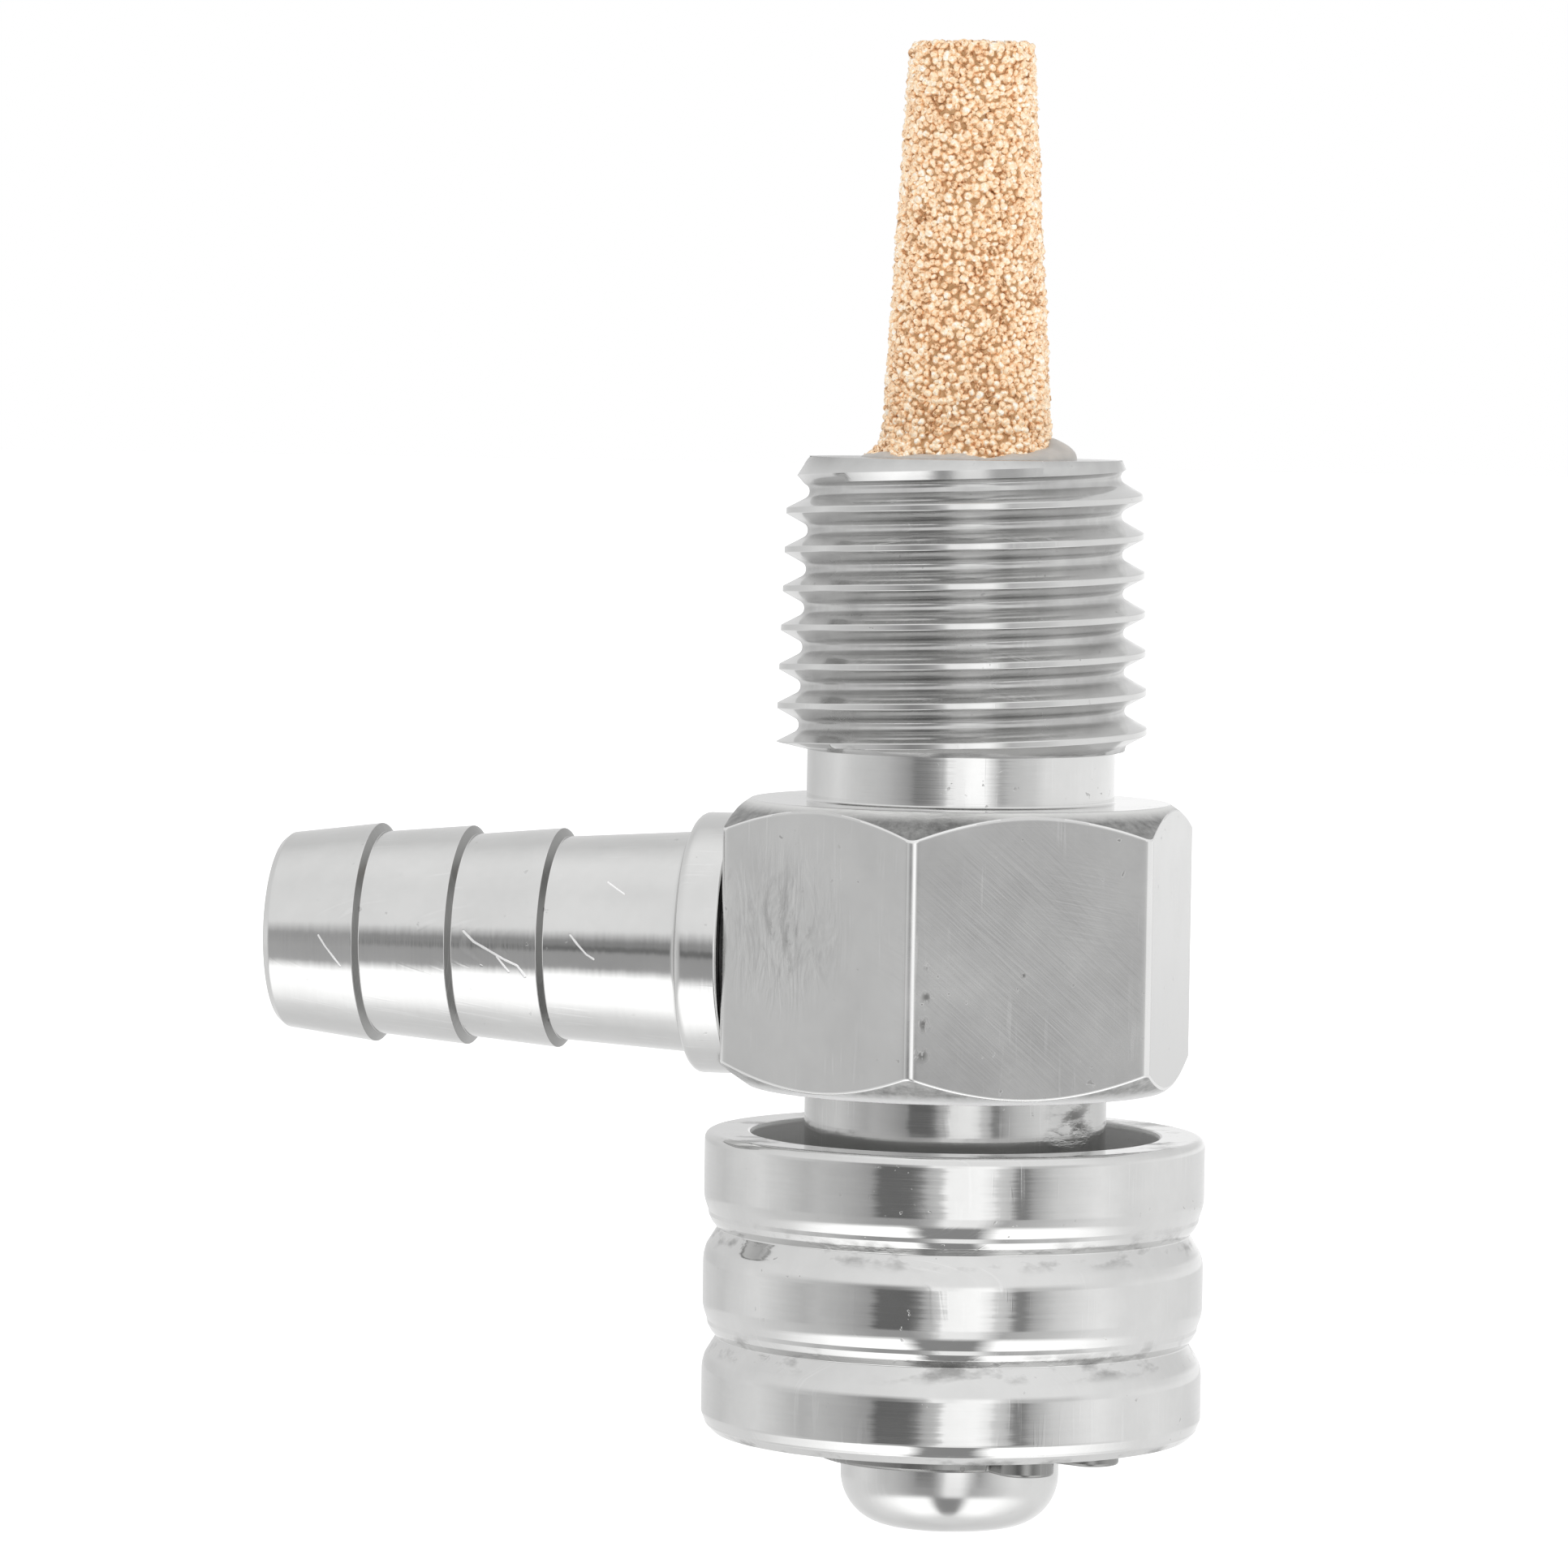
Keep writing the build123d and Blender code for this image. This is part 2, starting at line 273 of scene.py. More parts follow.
class Nodes(Tree):
    """A new material, with short forms for what its nodes measure and draw on the surface."""

    def __init__(self, name):
        self.material = bpy.data.materials.new(name)
        self.material.use_nodes = True
        super().__init__(self.material.node_tree)
        self.shader = self.tree.nodes["Principled BSDF"]
        self.place = self.add("ShaderNodeTexCoord").outputs["Object"]

    def scaled(self, scale, turn=(0, 0, 0)):
        """Object coordinates scaled by (x, y, z), after a turn in radians."""
        node = self.add("ShaderNodeMapping", vector_type="POINT")
        node.inputs["Scale"].default_value = scale
        node.inputs["Rotation"].default_value = turn
        self.link(self.place, node.inputs["Vector"])
        return node.outputs["Vector"]

    def noise(self, place, detail, roughness, distortion=0.0):
        node = self.add("ShaderNodeTexNoise")
        self.link(place, node.inputs["Vector"])
        node.inputs["Scale"].default_value = 1.0
        node.inputs["Detail"].default_value = detail
        node.inputs["Roughness"].default_value = roughness
        node.inputs["Distortion"].default_value = distortion
        return node.outputs["Fac"]

    def height(self):
        """Height in metres."""
        parts = self.add("ShaderNodeSeparateXYZ")
        self.link(self.place, parts.inputs[0])
        return parts.outputs["Z"]

    def radius(self):
        """Distance from the body's axis in metres."""
        length = self.add("ShaderNodeVectorMath", operation="LENGTH")
        self.link(self.scaled((1, 1, 0)), length.inputs[0])
        return length.outputs["Value"]

    def near(self, centre, reach, soft=0.5):
        """1 within reach of a place, all in millimetres, falling to 0 over the soft share of it."""
        length = self.add("ShaderNodeVectorMath", operation="DISTANCE")
        self.link(self.place, length.inputs[0])
        length.inputs[1].default_value = tuple(c * MM for c in centre)
        share = self.math("DIVIDE", length.outputs["Value"], reach * MM)
        return self.ramp(share, (1 - soft, 1), (1.0, 0))

    def stroke(self, places, width):
        """A scratch seen from the front, along (x, z) places in millimetres: 1 on the line, 0 beyond
        its width."""
        nearest = None
        facing = self.scaled((1, 0, 1))
        for start, end in zip(places, places[1:]):
            start, end = Vector((start[0], 0, start[1])) * MM, Vector((end[0], 0, end[1])) * MM
            along = end - start
            offset = self.add("ShaderNodeVectorMath", operation="SUBTRACT")
            self.link(facing, offset.inputs[0])
            offset.inputs[1].default_value = start
            dot = self.add("ShaderNodeVectorMath", operation="DOT_PRODUCT")
            self.link(offset.outputs[0], dot.inputs[0])
            dot.inputs[1].default_value = along / along.length_squared
            share = self.add("ShaderNodeClamp")
            self.link(dot.outputs["Value"], share.inputs[0])
            foot = self.add("ShaderNodeVectorMath", operation="SCALE")
            foot.inputs[0].default_value = along
            self.link(share.outputs[0], foot.inputs["Scale"])
            gap = self.add("ShaderNodeVectorMath", operation="DISTANCE")
            self.link(offset.outputs[0], gap.inputs[0])
            self.link(foot.outputs[0], gap.inputs[1])
            gap = gap.outputs["Value"]
            nearest = gap if nearest is None else self.math("MINIMUM", nearest, gap)
        wobble = self.noise(self.scaled((2500, 2500, 2500)), 2.0, 0.5)
        reach = self.math("MULTIPLY", self.math("ADD", wobble, 0.5), width * MM)
        return self.ramp(self.math("DIVIDE", nearest, reach), (0.5, 1), (1.0, 0))

    def stretched(self, along, across, long, fine):
        """Coordinates for marks that run along one direction and are narrow across another."""
        joined = self.add("ShaderNodeCombineXYZ")
        for socket, direction, scale in (("X", along, long), ("Y", across, fine)):
            dot = self.add("ShaderNodeVectorMath", operation="DOT_PRODUCT")
            self.link(self.place, dot.inputs[0])
            dot.inputs[1].default_value = Vector(direction).normalized() * scale
            self.link(dot.outputs["Value"], joined.inputs[socket])
        return joined.outputs[0]

    def frayed(self, axis, amount):
        """Normal swung sideways by rings of tool marks round the axis. It frays the edges of what a
        polished turned part mirrors."""
        normal = self.add("ShaderNodeNewGeometry").outputs["Normal"]
        side = self.add("ShaderNodeVectorMath", operation="CROSS_PRODUCT")
        side.inputs[0].default_value = (0, 0, 1) if axis == "z" else (1, 0, 0)
        self.link(normal, side.inputs[1])
        scale = (250, 250, 7000) if axis == "z" else (7000, 250, 250)
        rings = self.noise(self.scaled(scale), 3.0, 0.6)
        swing = self.math("MULTIPLY", self.math("SUBTRACT", rings, 0.5), amount)
        shift = self.add("ShaderNodeVectorMath", operation="SCALE")
        self.link(side.outputs[0], shift.inputs[0])
        self.link(swing, shift.inputs["Scale"])
        total = self.add("ShaderNodeVectorMath", operation="ADD")
        self.link(normal, total.inputs[0])
        self.link(shift.outputs[0], total.inputs[1])
        unit = self.add("ShaderNodeVectorMath", operation="NORMALIZE")
        self.link(total.outputs[0], unit.inputs[0])
        return unit.outputs[0]

    def bump(self, *layers, normal=None):
        """Stacks (height, strength, distance in metres) layers into one normal."""
        for height, strength, distance in layers:
            node = self.add("ShaderNodeBump")
            node.inputs["Strength"].default_value = strength
            node.inputs["Distance"].default_value = distance
            self.link(height, node.inputs["Height"])
            if normal is not None:
                self.link(normal, node.inputs["Normal"])
            normal = node.outputs["Normal"]
        self.link(normal, self.shader.inputs["Normal"])


def steel(name, colour, rough, axis="z", turning=0.25, scratching=0.5, pitting=0.5, fray=0.0,
          soiled_and_shaded=None, scored_and_highlit=None, rippled=None, metallic=1.0, glow=0.0):
    """Machined stainless steel: fine turning lines round the axis, stray hair scratches, ragged
    specks and patches where handling has dulled it. The three mask arguments, in order, give where
    the colour darkens (real dirt and wear on the boss and hexagon, painted shade in the grip grooves
    and thread roots), where deep scratches are painted white so they shine, and where the face is
    uneven. glow is painted light: the surface gives off its own colour."""
    n = Nodes(name)
    n.shader.inputs["Metallic"].default_value = metallic
    # Painted light: with glow above 0 the surface gives off its own colour as a faint light.
    n.shader.inputs["Emission Color"].default_value = (*colour, 1)
    n.shader.inputs["Emission Strength"].default_value = glow
    lines_scale = (60, 60, 9000) if axis == "z" else (9000, 60, 60)
    lines = n.noise(n.scaled(lines_scale), 3.0, 0.7)
    cloud = n.noise(n.scaled((260, 260, 260)), 5.0, 0.65)
    fine = n.noise(n.scaled((1500, 1500, 1500)), 3.0, 0.6)

    scratches = None
    turns = ((0.4, 0.9, 0.2), (1.3, -0.5, 1.1), (2.2, 0.3, -0.8), (0.9, 1.6, 0.5))
    for turn in turns:
        streak = n.noise(n.scaled((260, 11000, 260), turn), 1.0, 0.4, 0.3)
        line = n.ramp(streak, (0.68, 0), (0.74, 1))
        scratches = line if scratches is None else n.math("MAXIMUM", scratches, line)
    patch = n.ramp(n.noise(n.scaled((420, 420, 420)), 2.0, 0.5), (0.48, 0), (0.66, 1))
    scratches = n.math("MULTIPLY", scratches, patch)

    pit_spread = n.ramp(n.noise(n.scaled((500, 500, 500)), 2.0, 0.5), (0.52, 0), (0.62, 1))
    pit_grain = n.noise(n.scaled((3400, 3400, 3400)), 2.0, 0.5)
    pits = n.math("MULTIPLY", n.ramp(pit_grain, (0.70, 0), (0.74, 1)), pit_spread)

    darker, lighter = tuple(c * 0.92 for c in colour), tuple(min(c * 1.05, 1) for c in colour)
    shade = n.ramp(cloud, (0.25, darker), (0.75, lighter))
    shade = n.mix(n.math("MULTIPLY", pits, 0.7 * pitting), shade, (0.16, 0.155, 0.15))
    shade = n.mix(n.math("MULTIPLY", scratches, 0.30 * scratching), shade, (0.92, 0.92, 0.92))
    dull = n.ramp(cloud, (0.3, rough * 0.75), (0.8, rough * 1.45))
    dull = n.math("ADD", dull, n.math("MULTIPLY", lines, 0.06 * turning))
    dull = n.math("ADD", dull, n.math("MULTIPLY", scratches, 0.14 * scratching))
    layers = [
        (lines, 0.16 * turning, 0.00002),
        (fine, 0.04, 0.00002),
        (scratches, 0.3 * scratching, 0.00001),
        (n.math("SUBTRACT", 1.0, pits), 0.5 * pitting, 0.00003),
    ]
    # Darkens the colour: painted shade where the mask lies in the grip grooves and thread roots, real dirt
    # and wear on the boss and hexagon.
    if soiled_and_shaded:
        dirt_and_shade = soiled_and_shaded(n)
        shade = n.mix(n.math("MULTIPLY", dirt_and_shade, 0.75), shade, (0.10, 0.098, 0.095))
        dull = n.math("ADD", dull, n.math("MULTIPLY", dirt_and_shade, 0.3))
        layers.append((n.math("MULTIPLY", dirt_and_shade, fine), 0.5, 0.00004))
    # Painted highlight: the scored lines are turned white and rougher so that they shine.
    if scored_and_highlit:
        score_highlight = scored_and_highlit(n)
        shade = n.mix(score_highlight, shade, (1.0, 1.0, 1.0))
        dull = n.math("ADD", dull, n.math("MULTIPLY", score_highlight, 0.4))
        layers.append((n.math("SUBTRACT", 1.0, score_highlight), 0.25, 0.00002))
    if rippled:
        layers.append((rippled(n), 1.0, 0.00006))
    n.link(shade, n.shader.inputs["Base Color"])
    n.link(dull, n.shader.inputs["Roughness"])
    n.bump(*layers, normal=n.frayed(axis, fray) if fray else None)
    return n.material


def rough_steel(name, colour, rough, metallic=1.0):
    """Steel left as the tool cut it: coarse marks and torn specks, darker than the polished faces.
    Painted highlight: near white inward of 7.85 mm from the axis, along the chamfers' inner edge
    and over the hexagon's underside, fading out by 8.3 mm to the tool-cut colour at the corners."""
    n = Nodes(name)
    n.shader.inputs["Metallic"].default_value = metallic
    marks = n.noise(n.scaled((900, 900, 5200)), 5.0, 0.7)
    torn = n.noise(n.scaled((2600, 2600, 2600)), 4.0, 0.7)
    dark = tuple(c * 0.45 for c in colour)
    bright = tuple(min(c * 1.9, 1) for c in colour)
    # Painted highlight: the colour is brightened towards white inward of 7.85 mm from the axis.
    corner = n.ramp(n.math("MULTIPLY", n.radius(), 100), (0.785, 0), (0.83, 1))
    n.link(n.mix(corner, bright, n.ramp(torn, (0.3, dark), (0.75, colour))), n.shader.inputs["Base Color"])
    n.link(n.ramp(marks, (0.2, rough * 0.8), (0.8, rough * 1.3)), n.shader.inputs["Roughness"])
    n.bump((marks, 0.5, 0.00004), (torn, 0.6, 0.00003))
    return n.material


def bronze_grain():
    """Sintered bronze: fused, torn grains with a tint of their own each, mottled from brown to near
    white, partly the bronze's own tone and partly painted shade in the pits and painted glints,
    and giving off its colour as a faint painted glow."""
    n = Nodes("bronze_grain")
    tint = n.add("ShaderNodeAttribute", attribute_name="tint", attribute_type="GEOMETRY").outputs["Fac"]
    mottle = n.noise(n.scaled((5600, 5600, 5600)), 3.0, 0.62, 0.5)
    speck = n.noise(n.scaled((14000, 14000, 14000)), 2.0, 0.6)
    value = n.math("ADD", n.math("MULTIPLY", mottle, 0.80), n.math("MULTIPLY", tint, 0.20))
    # Brown to near white: the bronze's own mottled tone, with painted shade at the dark end and painted
    # glints at the pale end.
    colour = n.ramp(
        value,
        (0.33, (0.38, 0.20, 0.09)),
        (0.41, (0.80, 0.51, 0.30)),
        (0.49, (0.98, 0.73, 0.49)),
        (0.57, (1.0, 0.83, 0.62)),
        (0.66, (1.0, 0.96, 0.88)),
    )
    n.link(colour, n.shader.inputs["Base Color"])
    # Painted light: the grains give off their own colour as a faint glow.
    n.link(colour, n.shader.inputs["Emission Color"])
    n.shader.inputs["Emission Strength"].default_value = 0.08
    n.shader.inputs["Metallic"].default_value = 0.75
    n.link(n.ramp(speck, (0.3, 0.24), (0.7, 0.48)), n.shader.inputs["Roughness"])
    n.bump((mottle, 0.8, 0.00007), (speck, 0.4, 0.00002))
    return n.material


def bronze_painted_shade():
    """Painted shade: darker bronze for the metal deep between the grains, where shade falls."""
    n = Nodes("bronze_painted_shade")
    cloud = n.noise(n.scaled((3200, 3200, 3200)), 4.0, 0.65)
    n.link(n.ramp(cloud, (0.3, (0.42, 0.22, 0.09)), (0.7, (0.80, 0.54, 0.31))), n.shader.inputs["Base Color"])
    n.shader.inputs["Metallic"].default_value = 0.7
    n.link(n.ramp(cloud, (0.3, 0.5), (0.7, 0.7)), n.shader.inputs["Roughness"])
    n.bump((cloud, 0.7, 0.00006))
    return n.material


def sealant():
    """Cured clear-grey bonding bead."""
    n = Nodes("sealant")
    cloud = n.noise(n.scaled((900, 900, 900)), 4.0, 0.6)
    n.link(n.ramp(cloud, (0.3, (0.62, 0.60, 0.57)), (0.7, (0.80, 0.78, 0.75))), n.shader.inputs["Base Color"])
    n.link(n.ramp(cloud, (0.3, 0.30), (0.7, 0.45)), n.shader.inputs["Roughness"])
    n.shader.inputs["Transmission Weight"].default_value = 0.35
    n.bump((cloud, 0.4, 0.00004))
    return n.material


def rubber():
    """Moulded black rubber with a fine dusty grain."""
    n = Nodes("rubber")
    grain = n.noise(n.scaled((5200, 5200, 5200)), 4.0, 0.6)
    n.link(n.ramp(grain, (0.3, 0.018), (0.7, 0.045)), n.shader.inputs["Base Color"])
    n.link(n.ramp(grain, (0.3, 0.50), (0.7, 0.68)), n.shader.inputs["Roughness"])
    n.bump((grain, 0.3, 0.00002))
    return n.material


def brass():
    """Turned brass, slightly dulled."""
    n = Nodes("brass")
    lines = n.noise(n.scaled((60, 60, 9000)), 3.0, 0.7)
    cloud = n.noise(n.scaled((300, 300, 300)), 5.0, 0.6)
    n.link(n.ramp(cloud, (0.3, (0.66, 0.47, 0.20)), (0.7, (0.82, 0.62, 0.32))), n.shader.inputs["Base Color"])
    n.shader.inputs["Metallic"].default_value = 1.0
    n.link(n.ramp(cloud, (0.3, 0.2), (0.7, 0.34)), n.shader.inputs["Roughness"])
    n.bump((lines, 0.2, 0.00002))
    return n.material


# ---------------------------------------------------------------- wear, in millimetres

def thread_root_shade(n):
    """Painted shade in the roots, darker with depth measured down from the taper's crest, in uneven patches.
    """
    crest = THREAD_CREST_LOW + NECK_TOP * THREAD_TAPER
    out = n.math("MULTIPLY", n.radius(), 1 / MM)
    reach = n.math("ADD", out, n.math("MULTIPLY", n.height(), THREAD_TAPER / MM))
    depth = n.math("DIVIDE", n.math("SUBTRACT", crest, reach), THREAD_DEPTH)
    root_patches = n.ramp(n.noise(n.scaled((300, 300, 300)), 4.0, 0.6), (0.35, 0.15), (0.65, 0.5))
    return n.math("MULTIPLY", n.ramp(depth, (0.50, 0), (0.90, 1)), root_patches)


def groove_shade(n):
    """Painted shade in smears deep in the grip grooves."""
    deep = n.ramp(n.math("MULTIPLY", n.radius(), 100), (0.895, 1), (0.915, 0))
    smear = n.ramp(n.noise(n.scaled((420, 420, 900)), 4.0, 0.6), (0.52, 0), (0.66, 1))
    return n.math("MULTIPLY", n.math("MULTIPLY", deep, smear), 0.7)


def boss_wear(n):
    """A patch on the boss that something has rubbed rough, beside the polished front."""
    patch = n.near((4.9, -2.6, -11.6), 1.7, 0.8)
    cloud = n.noise(n.scaled((700, 700, 2200), (0.3, 0.2, 0.5)), 5.0, 0.7)
    smear = n.ramp(cloud, (0.44, 0), (0.62, 1))
    return n.math("MULTIPLY", patch, smear)


def flat_ripple(n):
    """Waves that the cutter left down one side of the front left flat, and slanting grinding marks
    over the front right one."""
    side = n.near((-5.6, -6.0, -4.4), 3.8, 0.6)
    waves = n.noise(n.scaled((900, 900, 300), (0.0, 0.25, 0.0)), 3.0, 0.55, 2.2)
    right = n.near((4.0, -6.9, -5.3), 5.4, 0.5)
    slanted = n.noise(n.stretched((0.87, 0.5, -0.75), (0.65, 0.375, 0.87), 260, 7000), 3.0, 0.6)
    level = n.noise(n.stretched((0.87, 0.5, -0.2), (0.17, 0.1, 0.98), 320, 8000), 2.0, 0.6)
    upper = n.near((6.1, -5.7, -3.2), 2.8, 0.7)
    ground = n.mix(upper, slanted, level)
    marks = n.math("MULTIPLY", n.math("MULTIPLY", right, ground), 0.13)
    return n.math("ADD", n.math("MULTIPLY", side, waves), marks)


def flat_dirt(n):
    """Small dents and specks on the hexagon."""
    marks = None
    for place, reach in (
        ((-3.32, -7.32, -2.56), 0.14), ((3.77, -7.06, -5.86), 0.14), ((0.50, -8.96, -7.6), 0.35),
        ((0.58, -8.92, -6.6), 0.28), ((0.46, -8.98, -8.7), 0.34), ((0.62, -8.9, -5.5), 0.2),
    ):
        mark = n.near(place, reach, 0.8)
        marks = mark if marks is None else n.math("MAXIMUM", marks, mark)
    broken = n.ramp(n.noise(n.scaled((4200, 4200, 2600)), 2.0, 0.6), (0.45, 0), (0.58, 1))
    stain = n.near((-5.3, -6.2, -4.6), 3.0, 0.9)
    drift = n.noise(n.scaled((1300, 1300, 420), (0.0, 0.25, 0.0)), 4.0, 0.65, 1.8)
    film = n.ramp(drift, (0.48, 0), (0.66, 0.42))
    streaks = n.noise(n.stretched((0.87, 0.5, -0.75), (0.65, 0.375, 0.87), 420, 9000), 3.0, 0.6)
    streaks = n.math("MULTIPLY", n.near((3.6, -7.1, -5.6), 5.6, 0.6), n.ramp(streaks, (0.5, 0), (0.7, 0.15)))
    films = n.math("MAXIMUM", n.math("MULTIPLY", stain, film), streaks)
    return n.math("MAXIMUM", n.math("MULTIPLY", marks, broken), films)


def barb_scratch_highlights(n):
    """Scratches that hoses and tools have left across the front of the barb's ridges, with a painted
    highlight: the steel turns them white so that they shine.
    """
    marks = None
    for places, width in (
        (((-17.93, -5.12), (-17.52, -5.50), (-16.99, -5.78), (-16.31, -6.15), (-15.83, -6.35),
          (-15.54, -6.74)), 0.055),
        (((-16.62, -6.04), (-16.18, -6.58)), 0.05),
        (((-13.85, -5.14), (-13.53, -5.52), (-13.22, -5.85), (-12.94, -6.02)), 0.045),
        (((-23.47, -5.44), (-23.22, -5.82), (-22.62, -6.57)), 0.045),
        (((-12.6, -3.2), (-11.9, -3.6)), 0.03),
    ):
        mark = n.stroke(places, width)
        marks = mark if marks is None else n.math("MAXIMUM", marks, mark)
    return n.math("MULTIPLY", marks, n.near((-18.0, -4.0, -5.5), 8.0, 0.1))


# Painted shade deep in the sleeve's grip grooves.
POLISHED = steel("polished_steel", (0.68, 0.68, 0.675), 0.06, turning=0.35, scratching=0.4,
                 pitting=0.5, fray=0.07, soiled_and_shaded=groove_shade)
NECK_STEEL = steel("neck_steel", (0.69, 0.69, 0.685), 0.06, turning=0.6, fray=0.04)
BOSS_STEEL = steel("boss_steel", (0.56, 0.56, 0.555), 0.08, turning=0.4, fray=0.05, soiled_and_shaded=boss_wear)
# Painted light: the bore's steel glows faintly and is less metallic, so it stays grey in its own shade.
GLOWING_BORE_STEEL = steel("glowing_bore_steel", (0.62, 0.62, 0.615), 0.42, turning=1.2, metallic=0.6, glow=0.07)
# Painted highlight on the barb's scratches.
BARB_STEEL = steel("barb_steel", (0.67, 0.67, 0.665), 0.10, axis="x", turning=0.5, pitting=0.3, fray=0.04,
                   scored_and_highlit=barb_scratch_highlights)
# Painted shade: a darker copy of the barb's steel for the ridges' steep faces toward the body.
RIDGE_SHADE_STEEL = steel("ridge_shade_steel", (0.34, 0.34, 0.335), 0.35, axis="x", turning=0.3, pitting=1.0)
MILLED = steel("milled_steel", (0.62, 0.62, 0.615), 0.20, turning=0.3, scratching=0.35, pitting=0.6,
               soiled_and_shaded=flat_dirt, rippled=flat_ripple)
# Painted highlight: a lighter, rougher copy of the steel for the hexagon's rounded edges.
EDGE_HIGHLIGHT_STEEL = steel("edge_highlight_steel", (0.80, 0.80, 0.795), 0.24, turning=0.3, scratching=0.3, pitting=0.3)
# Painted shade in the thread roots.
THREAD_STEEL = steel("thread_steel", (0.66, 0.66, 0.655), 0.10, turning=0.35, pitting=0.7, soiled_and_shaded=thread_root_shade)
# Painted highlight: near white along the chamfers' inner edge.
HIGHLIT_CHAMFER_STEEL = rough_steel("highlit_chamfer_steel", (0.42, 0.42, 0.415), 0.38)
# Painted light: a lit, near-white and almost matt copy for the underside of the hexagon, where shade falls.
LIT_UNDER_STEEL = rough_steel("lit_under_steel", (0.56, 0.56, 0.555), 0.5, metallic=0.1)
BUTTON_STEEL = steel("button_steel", (0.68, 0.68, 0.675), 0.15, turning=0.3, scratching=0.3, pitting=0.3)
RING_STEEL = steel("ring_steel", (0.30, 0.30, 0.295), 0.26, turning=0.3, scratching=0.6)
SPRING_STEEL = steel("spring_steel", (0.55, 0.55, 0.545), 0.22, turning=0.4)
BRONZE = bronze_grain()
BRONZE_SHADE_CORE = bronze_painted_shade()
SEALANT = sealant()
RUBBER = rubber()
BRASS = brass()


# ---------------------------------------------------------------- valve body

def hexagon_radius(angles):
    """Distance from the axis to a hexagon with rounded corners, for each direction."""
    sector = math.pi / 3
    off_flat = np.abs((angles + sector / 2) % sector - sector / 2)
    inner = HEX_APOTHEM - HEX_EDGE_ROUNDING
    to_arc = np.arctan(inner * math.tan(sector / 2) / HEX_APOTHEM)
    off_corner = sector / 2 - off_flat
    arc_centre = inner / math.cos(sector / 2)
    reach = np.maximum(HEX_EDGE_ROUNDING ** 2 - (arc_centre * np.sin(off_corner)) ** 2, 0)
    round_part = arc_centre * np.cos(off_corner) + np.sqrt(reach)
    return np.where(off_flat > to_arc, round_part, HEX_APOTHEM / np.cos(off_flat))


def body_angles():
    """Directions round the body, close together at the hexagon's corners."""
    sector = math.pi / 3
    corner = np.radians([0, 0.5, 1.0, 1.5, 2.1, 2.8])
    flat = np.linspace(math.radians(3.8), sector - math.radians(3.8), 34)
    one = np.concatenate([corner, flat, (sector - corner[1:])[::-1]])
    return np.concatenate([one + math.radians(30) + sector * side for side in range(6)])


def thread_profile():
    """One turn of the thread's outline as (height, depth) points, from root to root."""
    pitch, depth = THREAD_PITCH, THREAD_DEPTH
    corners = [
        (-0.50 * pitch, -depth),
        (-0.38 * pitch, -depth),
        (-0.075 * pitch, 0),
        (0.075 * pitch, 0),
        (0.38 * pitch, -depth),
        (0.50 * pitch, -depth),
    ]
    rows = rounded(plain(corners, 1), {1: 0.30, 2: 0.04, 3: 0.04, 4: 0.30}, 6)[:, 0, :]
    return rows[:-1]


def thread_end_radius(height):
    """Outline that cuts the thread off at both ends, from the radius that is left at each."""
    from_top = THREAD_START_RADIUS + (THREAD_TOP - height) * THREAD_START_SLOPE
    from_neck = NECK_RADIUS + (height - NECK_TOP) * THREAD_END_SLOPE
    return np.minimum(from_top, from_neck)


def threaded_grid(angles):
    """Rows that follow the helix, cut off by the start chamfer and by the neck."""
    profile = thread_profile()
    start_angle = math.radians(CAMERA_AZIMUTH)
    lead = (angles - start_angle) / (2 * math.pi) * THREAD_PITCH
    turns = range(-7, 7)
    rows = []
    for turn in turns:
        for along, depth in profile:
            height = THREAD_CREST_LEVEL + turn * THREAD_PITCH + along + lead
            height = np.clip(height, NECK_TOP, THREAD_TOP)
            crest = THREAD_CREST_LOW - (height - NECK_TOP) * THREAD_TAPER
            radius = np.minimum(crest + depth, thread_end_radius(height))
            rows.append(np.stack([radius, height], axis=-1))
    faces = []
    columns = len(angles)
    per_turn = len(profile)
    for row in range(len(rows) - 1):
        for column in range(columns):
            if column < columns - 1:
                right, shift = column + 1, 0
            else:
                right, shift = 0, per_turn
            if row + 1 + shift >= len(rows):
                continue
            faces.append((
                row * columns + column,
                (row + shift) * columns + right,
                (row + 1 + shift) * columns + right,
                (row + 1) * columns + column,
            ))
    return np.array(rows), faces


BODY_STEELS = [
    MILLED, THREAD_STEEL, HIGHLIT_CHAMFER_STEEL, BOSS_STEEL, EDGE_HIGHLIGHT_STEEL, LIT_UNDER_STEEL, NECK_STEEL,
]


def body_steel(face):
    """The finish of one face of the body, from where it lies and how it leans."""
    centre = face.center / MM
    out = math.hypot(centre.x, centre.y)
    lean = face.normal.z
    bearing = math.atan2(face.normal.y, face.normal.x)
    off_flat = abs((bearing + math.pi / 6) % (math.pi / 3) - math.pi / 6)
    if centre.z > -0.02:
        return THREAD_STEEL if centre.z > NECK_TOP else NECK_STEEL
    if out > HEX_CHAMFER_RADIUS and 0.7 < lean < 0.97:
        return HIGHLIT_CHAMFER_STEEL
    # Painted light: the hexagon's underside gets the lit, near-white copy.
    if centre.z < HEX_BOTTOM + 2 and lean < -0.7:
        return LIT_UNDER_STEEL
    # Painted highlight on the hexagon's rounded edges and the downward fillets beside them.
    if out > HEX_CHAMFER_RADIUS and (-0.7 <= lean < -0.05 or off_flat > math.radians(4)):
        return EDGE_HIGHLIGHT_STEEL
    if centre.z < HEX_BOTTOM + 0.02 and out < BOSS_RADIUS + 0.1:
        return BOSS_STEEL
    return MILLED


